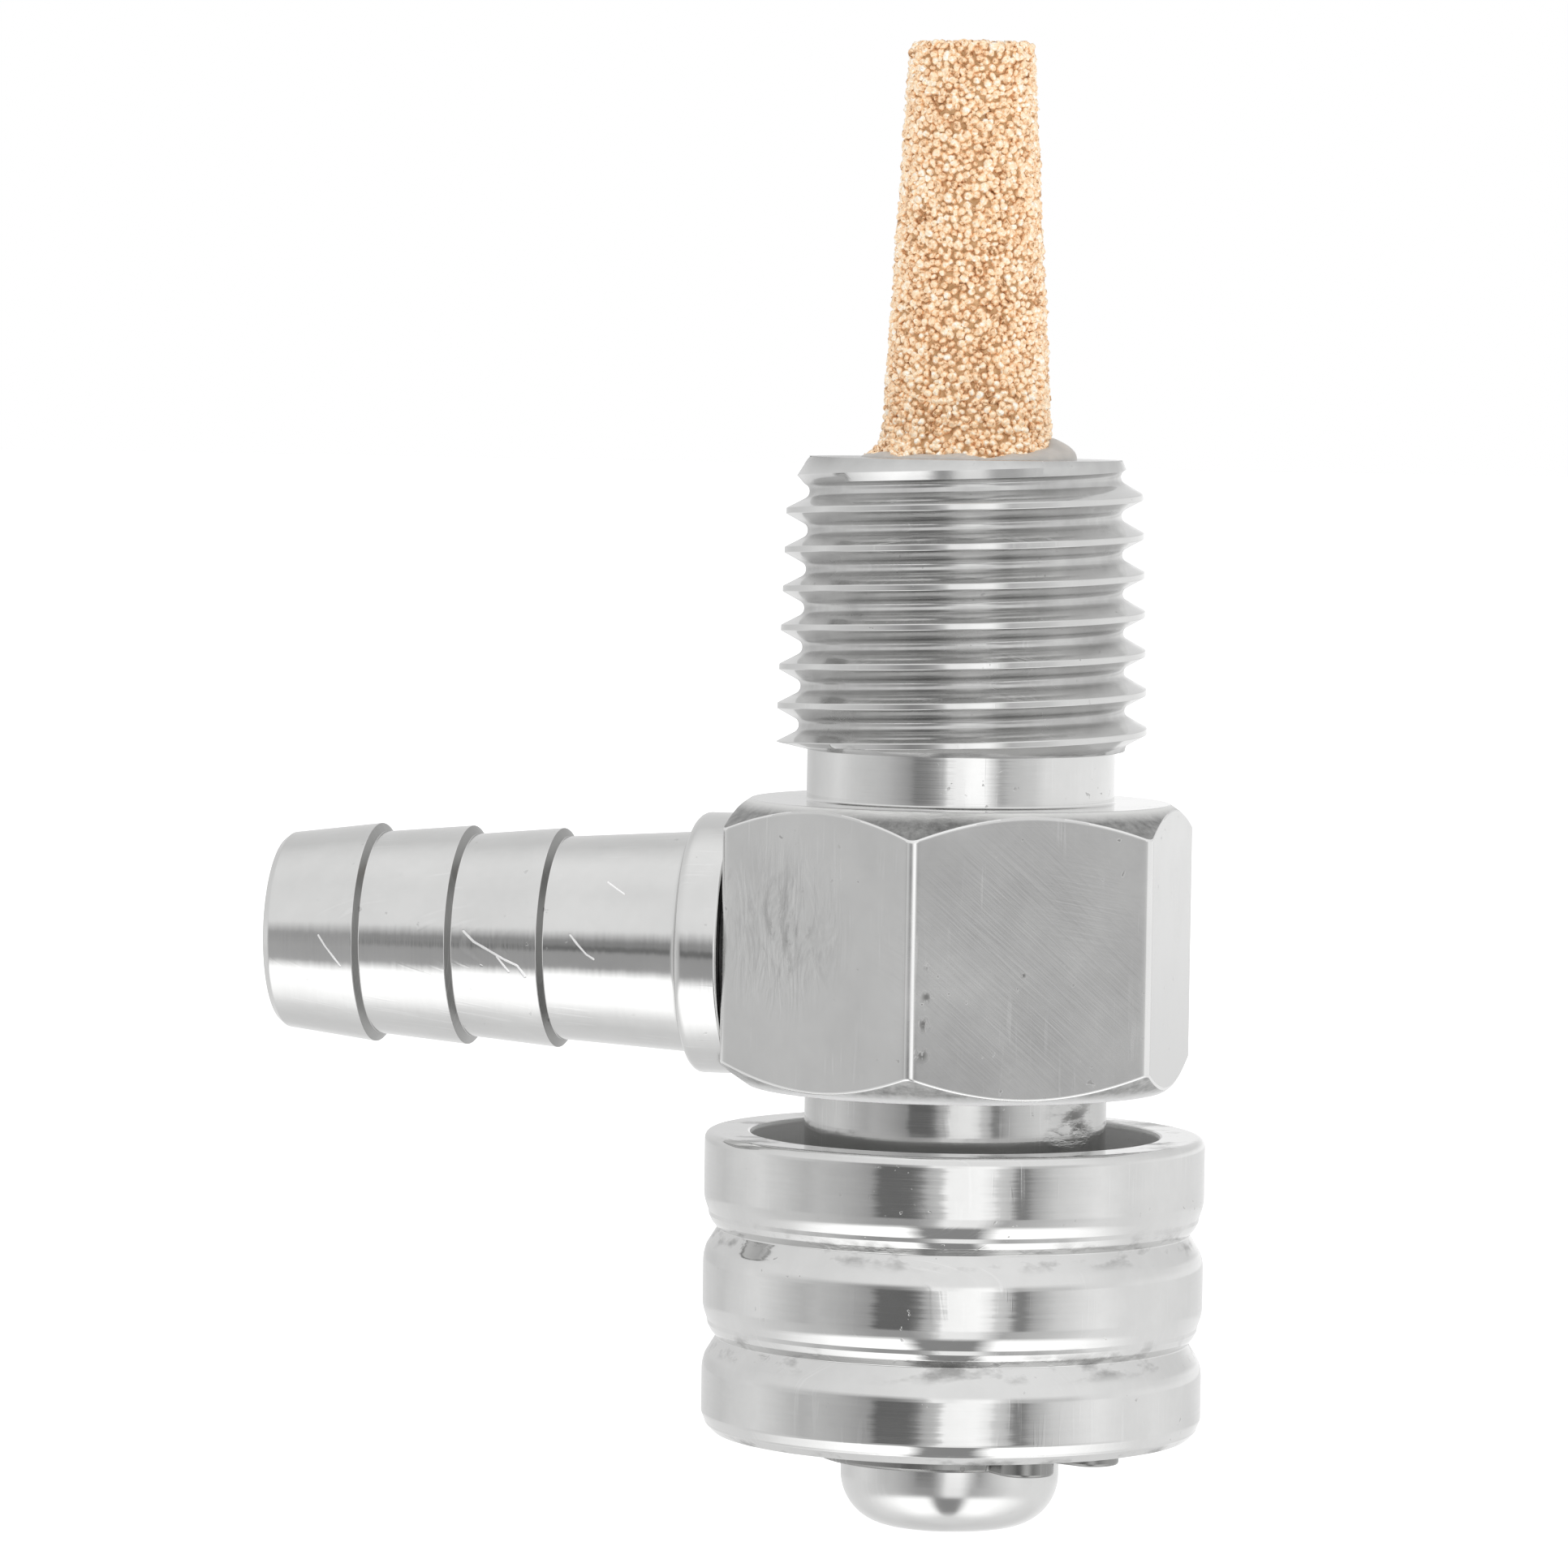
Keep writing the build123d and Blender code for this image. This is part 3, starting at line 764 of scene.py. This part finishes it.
def make_valve_body():
    """Threaded stud, neck, hexagon and boss in one turned piece, with its stepped bore."""
    angles = body_angles()
    columns = len(angles)
    hexagon = hexagon_radius(angles)
    drop = (hexagon - HEX_CHAMFER_RADIUS) * HEX_CHAMFER_SLOPE

    def level(radius, height):
        return np.stack([np.full(columns, radius, float), np.full(columns, height, float)], axis=-1)

    corners = np.array([
        level(NECK_RADIUS, NECK_TOP),
        level(NECK_RADIUS, 0),
        level(HEX_CHAMFER_RADIUS, 0),
        np.stack([hexagon, -drop], axis=-1),
        np.stack([hexagon, HEX_BOTTOM + drop], axis=-1),
        level(HEX_CHAMFER_RADIUS, HEX_BOTTOM),
        level(BOSS_RADIUS, HEX_BOTTOM),
        level(BOSS_RADIUS, BOSS_BOTTOM),
        level(GLAND_BORE, BOSS_BOTTOM),
        level(GLAND_BORE, GLAND_BORE_TOP),
        level(CHAMBER_BORE, GLAND_BORE_TOP),
        level(CHAMBER_BORE, THROAT_BOTTOM),
        level(THROAT_BORE, THROAT_BOTTOM),
        level(THROAT_BORE, SEAT_LEVEL),
        level(OUTLET_BORE, SEAT_LEVEL),
        level(OUTLET_BORE, SOCKET_FLOOR),
        level(SOCKET_BORE, SOCKET_FLOOR),
        level(SOCKET_BORE, THREAD_TOP),
        level(THREAD_START_RADIUS, THREAD_TOP),
    ])
    radii = {1: 0.08, 2: 0.10, 3: 0.16, 4: 0.16, 5: 0.10, 6: 0.08, 7: 0.3, 17: 0.08}
    rows = rounded(corners, radii, 5)
    thread_rows, faces = threaded_grid(angles)
    points = np.concatenate([grid_points(thread_rows, angles), grid_points(rows, angles)])
    faces += grid_faces(len(rows), columns, first=len(thread_rows) * columns)
    piece = make_piece("valve_body_steel", points, faces, BODY_STEELS[0])
    for material in BODY_STEELS[1:]:
        piece.data.materials.append(material)
    for face in piece.data.polygons:
        face.material_index = BODY_STEELS.index(body_steel(face))
    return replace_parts(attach(piece, "body"), "valve_body")


# ---------------------------------------------------------------- porous element

def element_radius(height):
    """Radius of the element's outside, with its foot flaring out in an arc."""
    share = (height - ELEMENT_FOOT_LEVEL) / (element_high.z - ELEMENT_FOOT_LEVEL)
    taper = ELEMENT_FOOT_RADIUS + (ELEMENT_TIP_RADIUS - ELEMENT_FOOT_RADIUS) * share
    flare = max(ELEMENT_FOOT_LEVEL - height, 0) / (ELEMENT_FOOT_LEVEL - THREAD_TOP)
    return taper + ELEMENT_FLARE * flare ** 2.2


def ball():
    """Points and triangles of a small round grain."""
    work = bmesh.new()
    bmesh.ops.create_icosphere(work, subdivisions=2, radius=1)
    points = np.array([v.co[:] for v in work.verts])
    faces = np.array([[v.index for v in f.verts] for f in work.faces])
    work.free()
    return points, faces


# Rounds of packing, from large grains to small: radius, tries, how near two may come as a share of
# their radii, and how deep they sit.
GRAIN_ROUNDS = ((0.18, 26000, 0.74, 0.0), (0.14, 36000, 0.70, 0.03), (0.12, 30000, 0.72, 0.08))
TOP_GRAIN_SHARE = 0.07


def grain_places(chance):
    """Grains packed at random over the element's side and top: (centre, radius) without overlaps
    deeper than fused grains have."""
    grains = []
    cell = 0.4
    lookup = {}

    def fits(x, y, z, radius, touch):
        key = (int(x // cell), int(y // cell), int(z // cell))
        for i in (-1, 0, 1):
            for j in (-1, 0, 1):
                for k in (-1, 0, 1):
                    for gx, gy, gz, gr in lookup.get((key[0] + i, key[1] + j, key[2] + k), ()):
                        gap = (radius + gr) * touch
                        if (x - gx) ** 2 + (y - gy) ** 2 + (z - gz) ** 2 < gap * gap:
                            return False
        lookup.setdefault(key, []).append((x, y, z, radius))
        return True

    for size, tries, touch, sunk in GRAIN_ROUNDS:
        for _ in range(tries):
            radius = size * chance.uniform(0.88, 1.12)
            angle = chance.uniform(0, 2 * math.pi)
            if chance.random() < TOP_GRAIN_SHARE:
                out = (element_radius(element_high.z) - radius) * math.sqrt(chance.random())
                height = element_high.z - radius - sunk - chance.uniform(0, 0.05)
            else:
                height = chance.uniform(THREAD_TOP - 0.05, element_high.z - radius)
                out = element_radius(height) - radius + chance.uniform(-0.04, 0.05) - sunk
            x, y = out * math.cos(angle), out * math.sin(angle)
            if fits(x, y, height, radius, touch):
                grains.append((x, y, height, radius))
    return grains


def make_grains(name, grains, chance):
    """One mesh of many grains, each turned and squashed its own way, with its own tint."""
    shape, triangles = ball()
    points, faces, tints = [], [], []
    for number, (x, y, z, radius) in enumerate(grains):
        axis = Vector((chance.gauss(0, 1), chance.gauss(0, 1), chance.gauss(0, 1))).normalized()
        turn = np.array(Matrix.Rotation(chance.uniform(0, math.pi), 3, axis))
        squash = np.array([chance.uniform(0.72, 1.25) for _ in range(3)])
        knobs = np.array([[chance.uniform(0.84, 1.14)] for _ in shape])
        points.append((shape * knobs * squash * radius) @ turn.T + (x, y, z))
        faces.append(triangles + number * len(shape))
        tints += [chance.betavariate(2.2, 1.8)] * len(shape)
    cloud = np.concatenate(points)
    cloud[:, 2] = np.minimum(cloud[:, 2], element_high.z)
    mesh = bpy.data.meshes.new(name)
    mesh.from_pydata((cloud * MM).tolist(), [], np.concatenate(faces).tolist())
    mesh.attributes.new("tint", "FLOAT", "POINT").data.foreach_set("value", tints)
    mesh.shade_smooth()
    mesh.materials.append(BRONZE)
    piece = bpy.data.objects.new(name, mesh)
    bpy.context.scene.collection.objects.link(piece)
    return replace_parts(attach(piece, "body"), "diffuser_element")


def make_element():
    """Dark core of the sintered thimble, painted shade that shows between the grains, under a skin of grains,
    in three pieces from foot to tip.
    """
    chance = random.Random(7)
    inset = 0.17
    plug_radius, bore, bore_tip = 3.7, 1.7, 1.15
    heights = np.linspace(THREAD_TOP, element_high.z - inset, 60)
    side = [(element_radius(h) - inset, h) for h in heights]
    inside = [(0, element_high.z - inset), (0, element_high.z - 1.9), (bore_tip, element_high.z - 2.5)]
    plug = [(bore, element_low.z), (plug_radius, element_low.z), (plug_radius, THREAD_TOP - 0.02)]
    outline = [*side, *inside, *plug, side[0]]
    core = turned("element_core", outline, {}, BRONZE_SHADE_CORE, columns=96)
    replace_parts(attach(core, "body"), "diffuser_element")
    grains = grain_places(chance)
    grains.sort(key=lambda grain: grain[2])
    third = len(grains) // 3
    make_grains("element_grains_foot", grains[:third], chance)
    make_grains("element_grains_middle", grains[third:2 * third], chance)
    make_grains("element_grains_tip", grains[2 * third:], chance)


def make_bead():
    """Hollow-faced bead of bonding compound round the element's foot, full on one side and almost
    rubbed away on the others."""
    columns = 180
    angles = even_angles(columns)
    off_full = (angles - math.radians(CAMERA_AZIMUTH) + math.pi) % (2 * math.pi) - math.pi
    share = np.exp(-(off_full / math.radians(34)) ** 2)
    uneven = 0.05 * np.sin(7 * angles) + 0.04 * np.sin(13 * angles + 1)
    tall = bead_high.z - THREAD_TOP
    rise = np.minimum(tall, 0.16 + uneven + (tall - 0.16) * share)
    rows = []
    for step in np.linspace(0, 1, 9):
        height = THREAD_TOP + rise * (1 - step)
        foot = np.array([element_radius(h) for h in height])
        lift = (1 - step) ** 2.0
        spread = foot + (bead_high.x - foot) * (0.45 + 0.55 * share)
        rows.append(np.stack([foot * lift + spread * (1 - lift) + 0.03 * lift, height], axis=-1))
    inner = element_radius(THREAD_TOP) - 0.1
    rows.append(np.stack([np.full(columns, inner), np.full(columns, THREAD_TOP)], axis=-1))
    inside = np.array([element_radius(THREAD_TOP + r) for r in rise]) - 0.1
    rows.append(np.stack([inside, THREAD_TOP + rise], axis=-1))
    rows.append(rows[0])
    points = grid_points(np.array(rows), angles)
    bead = make_piece("bond_bead", points, grid_faces(len(rows), columns), SEALANT)
    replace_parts(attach(bead, "body"), "bond_ring")


# ---------------------------------------------------------------- hose barb

def along_barb():
    """Takes a piece made on +Z to the barb's axis, its height measured from the hexagon's flat."""
    place = Matrix.Translation((-HEX_APOTHEM * MM, 0, BARB_LEVEL * MM))
    return place @ Matrix.Rotation(-math.pi / 2, 4, "Y")


def make_barb():
    """Side connector with its flange and ridges, and the thin seal behind the flange."""
    length = -HEX_APOTHEM - barb_low.x
    ridges = []
    for crest in BARB_CRESTS:
        ridges.append((BARB_ROOT_RADIUS, crest - RIDGE_BACK))
        ridges.append((BARB_CREST_RADIUS, crest))
    outline = [
        (BARB_BORE, -SPIGOT_DEPTH),
        (SPIGOT_RADIUS, -SPIGOT_DEPTH),
        (SPIGOT_RADIUS, SEAL_THICKNESS),
        (FLANGE_RADIUS, SEAL_THICKNESS),
        (FLANGE_RADIUS, FLANGE_FACE),
        (BARB_NECK_RADIUS, FLANGE_FACE),
        *ridges,
        (BARB_TIP_RADIUS, length - 0.25),
        (BARB_TIP_RADIUS - 0.2, length),
        (BARB_BORE, length),
        (BARB_BORE, -SPIGOT_DEPTH),
    ]
    radii = {3: 0.1, 4: 0.6, 5: 0.2, 12: 0.12, 13: 0.08, 14: 0.12}
    for root in (6, 8, 10):
        radii.update({root: 0.05, root + 1: 0.05})
    barb = turned("hose_barb_steel", outline, radii, BARB_STEEL, matrix=along_barb())
    barb.data.materials.append(RIDGE_SHADE_STEEL)
    # Painted shade: the ridges' steep faces toward the body get the darker steel.
    for face in barb.data.polygons:
        out = math.hypot(face.center.y / MM, face.center.z / MM - BARB_LEVEL)
        on_ridge = BARB_ROOT_RADIUS - 0.1 < out < BARB_CREST_RADIUS + 0.04
        if on_ridge and face.normal.x > 0.3 and face.center.x / MM < -HEX_APOTHEM - 5:
            face.material_index = 1
    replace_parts(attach(barb, "body"), "hose_barb")
    hole, reach = SPIGOT_RADIUS + 0.05, seal_high.y
    section = [(hole, 0), (reach, 0), (reach, SEAL_THICKNESS), (hole, SEAL_THICKNESS), (hole, 0)]
    rounding = {1: 0.1, 2: 0.1}
    ring = turned("barb_seal_rubber", section, rounding, RUBBER, columns=160, matrix=along_barb())
    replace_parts(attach(ring, "body"), "barb_seal")


# ---------------------------------------------------------------- sleeve, button and ring

def groove(level):
    """One grip groove from its upper edge down: a long slope, a deepest line and a steeper slope."""
    return [
        (SLEEVE_RADIUS, level + 1.15),
        (SLEEVE_RADIUS - 0.17, level + 0.66),
        (SLEEVE_RADIUS - 0.19, level + 0.50),
        (SLEEVE_RADIUS - 0.30, level + 0.28),
        (SLEEVE_RADIUS - 0.52, level),
        (SLEEVE_RADIUS - 0.10, level - 0.68),
        (SLEEVE_RADIUS, level - 1.05),
    ]


def make_sleeve():
    """Open-topped grip sleeve with two grooves round it and a holed end plate."""
    top, bottom = sleeve_high.z, sleeve_low.z
    hole = BUTTON_RADIUS + 0.05
    middle = (SLEEVE_RADIUS + SLEEVE_BORE) / 2
    outline = [
        (middle, top),
        (SLEEVE_RADIUS, top),
        *groove(GROOVE_LEVELS[0]),
        *groove(GROOVE_LEVELS[1]),
        (SLEEVE_RADIUS, bottom + 0.7),
        (SLEEVE_RADIUS - 0.13, bottom + 0.38),
        (SLEEVE_RADIUS - 0.15, bottom + 0.3),
        (SLEEVE_RADIUS - 0.45, bottom),
        (hole, bottom),
        (hole, SLEEVE_FLOOR),
        (SLEEVE_BORE, SLEEVE_FLOOR),
        (SLEEVE_BORE, top),
        (middle, top),
    ]
    radii = {1: 0.3, 16: 0.3, 17: 0.04, 18: 0.04, 19: 0.1, 20: 0.1, 22: 0.5, 23: 0.15}
    for upper_edge in (2, 9):
        for step, radius in enumerate((2.4, 0.08, 0.06, 0.3, 0.05, 0.6, 3.0)):
            radii[upper_edge + step] = radius
    sleeve = turned("grip_sleeve_steel", outline, radii, POLISHED, columns=320)
    sleeve.data.materials.append(GLOWING_BORE_STEEL)
    # Painted light: the inner wall and floor of the bore get the glowing steel.
    for face in sleeve.data.polygons:
        out = math.hypot(face.center.x, face.center.y) / MM
        if out < SLEEVE_BORE + 0.05 and face.center.z > (SLEEVE_FLOOR - 0.1) * MM:
            face.material_index = 1
    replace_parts(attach(sleeve, "sleeve"), "grip_sleeve")


def make_button():
    """Domed end of the plunger, with the retaining ring's groove and the flange inside the sleeve."""
    bottom, top = button_low.z, button_high.z
    groove_low, groove_high = ring_low.z - 0.02, ring_high.z + 0.02
    outline = [
        (0, bottom),
        (BUTTON_RADIUS, bottom + 0.16),
        (BUTTON_RADIUS, groove_low),
        (BUTTON_GROOVE_RADIUS, groove_low),
        (BUTTON_GROOVE_RADIUS, groove_high),
        (BUTTON_RADIUS, groove_high),
        (BUTTON_RADIUS, BUTTON_FLANGE_BOTTOM),
        (button_high.x, BUTTON_FLANGE_BOTTOM),
        (button_high.x, top),
        (BUTTON_THREAD_RADIUS, top),
        (BUTTON_THREAD_RADIUS, BUTTON_THREAD_BOTTOM),
        (0, BUTTON_THREAD_BOTTOM),
    ]
    radii = {1: BUTTON_EDGE_ROUNDING, 8: 0.25}
    button = turned("push_button_steel", outline, radii, BUTTON_STEEL, columns=200, steps=16)
    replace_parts(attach(button, "plunger"), "push_button")


def copied(node, name, material):
    """A new piece with the CAD node's mesh."""
    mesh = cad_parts[node].data.copy()
    mesh.materials.clear()
    mesh.materials.append(material)
    piece = bpy.data.objects.new(name, mesh)
    bpy.context.scene.collection.objects.link(piece)
    return piece


def make_ring():
    """The open spring ring with its stamped edges worn round."""
    ring = copied("retaining_ring", "retaining_ring_steel", RING_STEEL)
    mesh = ring.data
    work = bmesh.new()
    work.from_mesh(mesh)
    bmesh.ops.remove_doubles(work, verts=work.verts, dist=1e-7)
    bmesh.ops.dissolve_limit(work, angle_limit=math.radians(1), verts=work.verts, edges=work.edges)
    work.to_mesh(mesh)
    work.free()
    bevel = ring.modifiers.new("worn_edges", "BEVEL")
    bevel.width = 0.12 * MM
    bevel.segments = 3
    bevel.angle_limit = math.radians(50)
    mesh.shade_smooth()
    mesh.set_sharp_from_angle(angle=math.radians(40))
    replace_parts(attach(ring, "plunger"), "retaining_ring")


def make_spring():
    """The CAD's coil spring, fixed at its upper end, on the body with a mesh of its own."""
    spring = copied("return_spring", "return_spring_steel", SPRING_STEEL)
    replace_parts(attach(spring, "body"), "return_spring")
    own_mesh(spring)


make_valve_body()
make_element()
make_bead()
make_barb()
make_sleeve()
make_button()
make_ring()
make_spring()

CARRIED = {
    "gland_bush": BRASS,
    "gland_seal": RUBBER,
    "spring_seat": SPRING_STEEL,
    "spindle": POLISHED,
    "spindle_seal_upper": RUBBER,
    "spindle_seal_lower": RUBBER,
    "valve_poppet": BRASS,
    "poppet_seal": RUBBER,
}
for node, material in CARRIED.items():
    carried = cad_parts[node]
    carried.data.materials.clear()
    carried.data.materials.append(material)


# ---------------------------------------------------------------- camera, floor and light

def make_camera():
    """Close telephoto view, a little above the barb, looking slightly down, and leaning by under a
    degree. The aim lies beside the axis, so that the barb and the body balance in the frame."""
    azimuth = math.radians(CAMERA_AZIMUTH)
    distance, eye_level, aim_beside, aim_level = 0.285, 0.016, -0.00654, 0.0005
    toward = Vector((math.sin(azimuth), -math.cos(azimuth), 0))
    right = Vector((math.cos(azimuth), math.sin(azimuth), 0))
    place = toward * distance + Vector((0, 0, eye_level))
    aim = right * aim_beside + Vector((0, 0, aim_level))
    lean = math.radians(0.87)
    camera = bpy.data.objects.new("camera", bpy.data.cameras.new("camera"))
    bpy.context.scene.collection.objects.link(camera)
    look = (aim - place).to_track_quat("-Z", "Y").to_matrix().to_4x4()
    camera.matrix_world = Matrix.Translation(place) @ look @ Matrix.Rotation(lean, 4, "Z")
    camera.data.sensor_width = 36
    camera.data.lens = 177
    camera.data.clip_start = 0.01
    camera.data.clip_end = 10
    bpy.context.scene.camera = camera


def make_floor():
    """Plain pale floor that the button's end stands on. Polished parts mirror the studio instead."""
    mesh = bpy.data.meshes.new("floor")
    reach = 3.0
    corners = [(-reach, -reach), (reach, -reach), (reach, reach), (-reach, reach)]
    mesh.from_pydata([(x, y, cad_low.z - 0.00002) for x, y in corners], [], [(0, 1, 2, 3)])
    n = Nodes("floor")
    cloud = n.noise(n.scaled((8, 8, 8)), 2.0, 0.5)
    n.link(n.ramp(cloud, (0.3, 0.48), (0.7, 0.52)), n.shader.inputs["Base Color"])
    n.shader.inputs["Roughness"].default_value = 0.9
    n.shader.inputs["Emission Color"].default_value = (1, 1, 1, 1)
    n.shader.inputs["Emission Strength"].default_value = 0.80
    mesh.materials.append(n.material)
    floor = bpy.data.objects.new("floor", mesh)
    bpy.context.scene.collection.objects.link(floor)
    floor.visible_glossy = False


def make_studio():
    """White studio all round, seen by polished parts as a bright panel behind the camera between two
    dark screens, and a bright table in front."""
    world = bpy.data.worlds.new("studio")
    bpy.context.scene.world = world
    world.use_nodes = True
    n = Tree(world.node_tree)
    background = n.tree.nodes["Background"]

    axes = n.add("ShaderNodeSeparateXYZ")
    n.link(n.add("ShaderNodeTexCoord").outputs["Generated"], axes.inputs[0])
    bearing = n.math("ARCTAN2", axes.outputs["Y"], axes.outputs["X"])
    ahead = 0.5 + (90 - CAMERA_AZIMUTH) / 360
    turn = n.math("FRACT", n.math("ADD", n.math("DIVIDE", bearing, 2 * math.pi), ahead))
    rise = n.math("DIVIDE", n.math("ARCSINE", axes.outputs["Z"]), math.pi / 180)

    def ring(*stops):
        """Brightness all the way round, through (degrees right of the camera, grey) stops. The
        greys are half the brightness, to fit the ramp."""
        return n.ramp(turn, *((0.5 + degrees / 360, grey) for degrees, grey in stops))

    # At eye level.
    horizon = ring(
        (-144, 0.37), (-120, 0.43), (-104, 0.48), (-88, 0.41), (-70, 0.37), (-56, 0.33),
        (-40, 0.22), (-33, 0.15), (-25, 0.17), (-18, 0.24), (-12, 0.36), (-9, 0.62), (0, 0.61),
        (8, 0.70), (18, 0.72), (22, 0.56), (30, 0.30), (36, 0.35), (56, 0.40), (66, 0.49),
        (100, 0.52), (150, 0.54),
    )
    # A few degrees lower, where two dark screens flank the bright panel.
    screens = ring(
        (-146, 0.40), (-132, 0.38), (-120, 0.43), (-100, 0.48), (-80, 0.36), (-72, 0.32),
        (-64, 0.35), (-48, 0.28), (-38, 0.22), (-34, 0.09), (-19, 0.085), (-15, 0.14),
        (-12, 0.28), (-6, 0.36), (-3, 0.66), (12, 0.71), (18, 0.60), (20, 0.45), (26, 0.36),
        (29, 0.15), (33, 0.14), (37, 0.26), (48, 0.42), (64, 0.52), (72, 0.56), (88, 0.49),
        (110, 0.51), (140, 0.46),
    )
    low = ring(
        (-110, 0.45), (-60, 0.34), (-34, 0.22), (-18, 0.21), (-10, 0.32), (-4, 0.60), (12, 0.60),
        (24, 0.28), (40, 0.34), (70, 0.50),
    )
    sky = ring(
        (-150, 0.40), (-100, 0.46), (-40, 0.50), (0, 0.54), (60, 0.52), (150, 0.42),
    )
    table = ring(
        (-150, 0.42), (-110, 0.50), (-60, 0.80), (-26, 0.82), (-16, 0.17), (13, 0.17), (25, 0.80),
        (60, 0.80), (110, 0.50), (150, 0.44),
    )
    fall = n.math("MULTIPLY", rise, -1.0)

    def past(degrees, width):
        """0 above so many degrees below the horizon, 1 a width further down."""
        return n.math("MULTIPLY", n.math("SUBTRACT", fall, degrees), 1 / width, clamp=True)

    zenith, underfoot = (0.56, 0.56, 0.56), (0.50, 0.50, 0.50)
    high = n.mix(past(-80, 30), zenith, sky)
    upper = n.mix(past(-12, 11), high, horizon)
    middle = n.mix(past(8.5, 2.5), n.mix(past(3.6, 1.6), upper, screens), low)
    mirrored = n.mix(past(66, 18), n.mix(past(27, 9), middle, table), underfoot)
    n.link(mirrored, background.inputs["Color"])
    background.inputs["Strength"].default_value = 2.0

    # The camera itself sees plain white behind the object.
    seen = n.add("ShaderNodeBackground")
    seen.inputs["Color"].default_value = (1, 1, 1, 1)
    seen.inputs["Strength"].default_value = 1.0
    path = n.add("ShaderNodeLightPath")
    choice = n.add("ShaderNodeMixShader")
    n.link(path.outputs["Is Camera Ray"], choice.inputs[0])
    n.link(background.outputs[0], choice.inputs[1])
    n.link(seen.outputs[0], choice.inputs[2])
    n.link(choice.outputs[0], n.tree.nodes["World Output"].inputs["Surface"])


make_camera()
make_floor()
make_studio()
bpy.context.scene.view_settings.view_transform = "Standard"
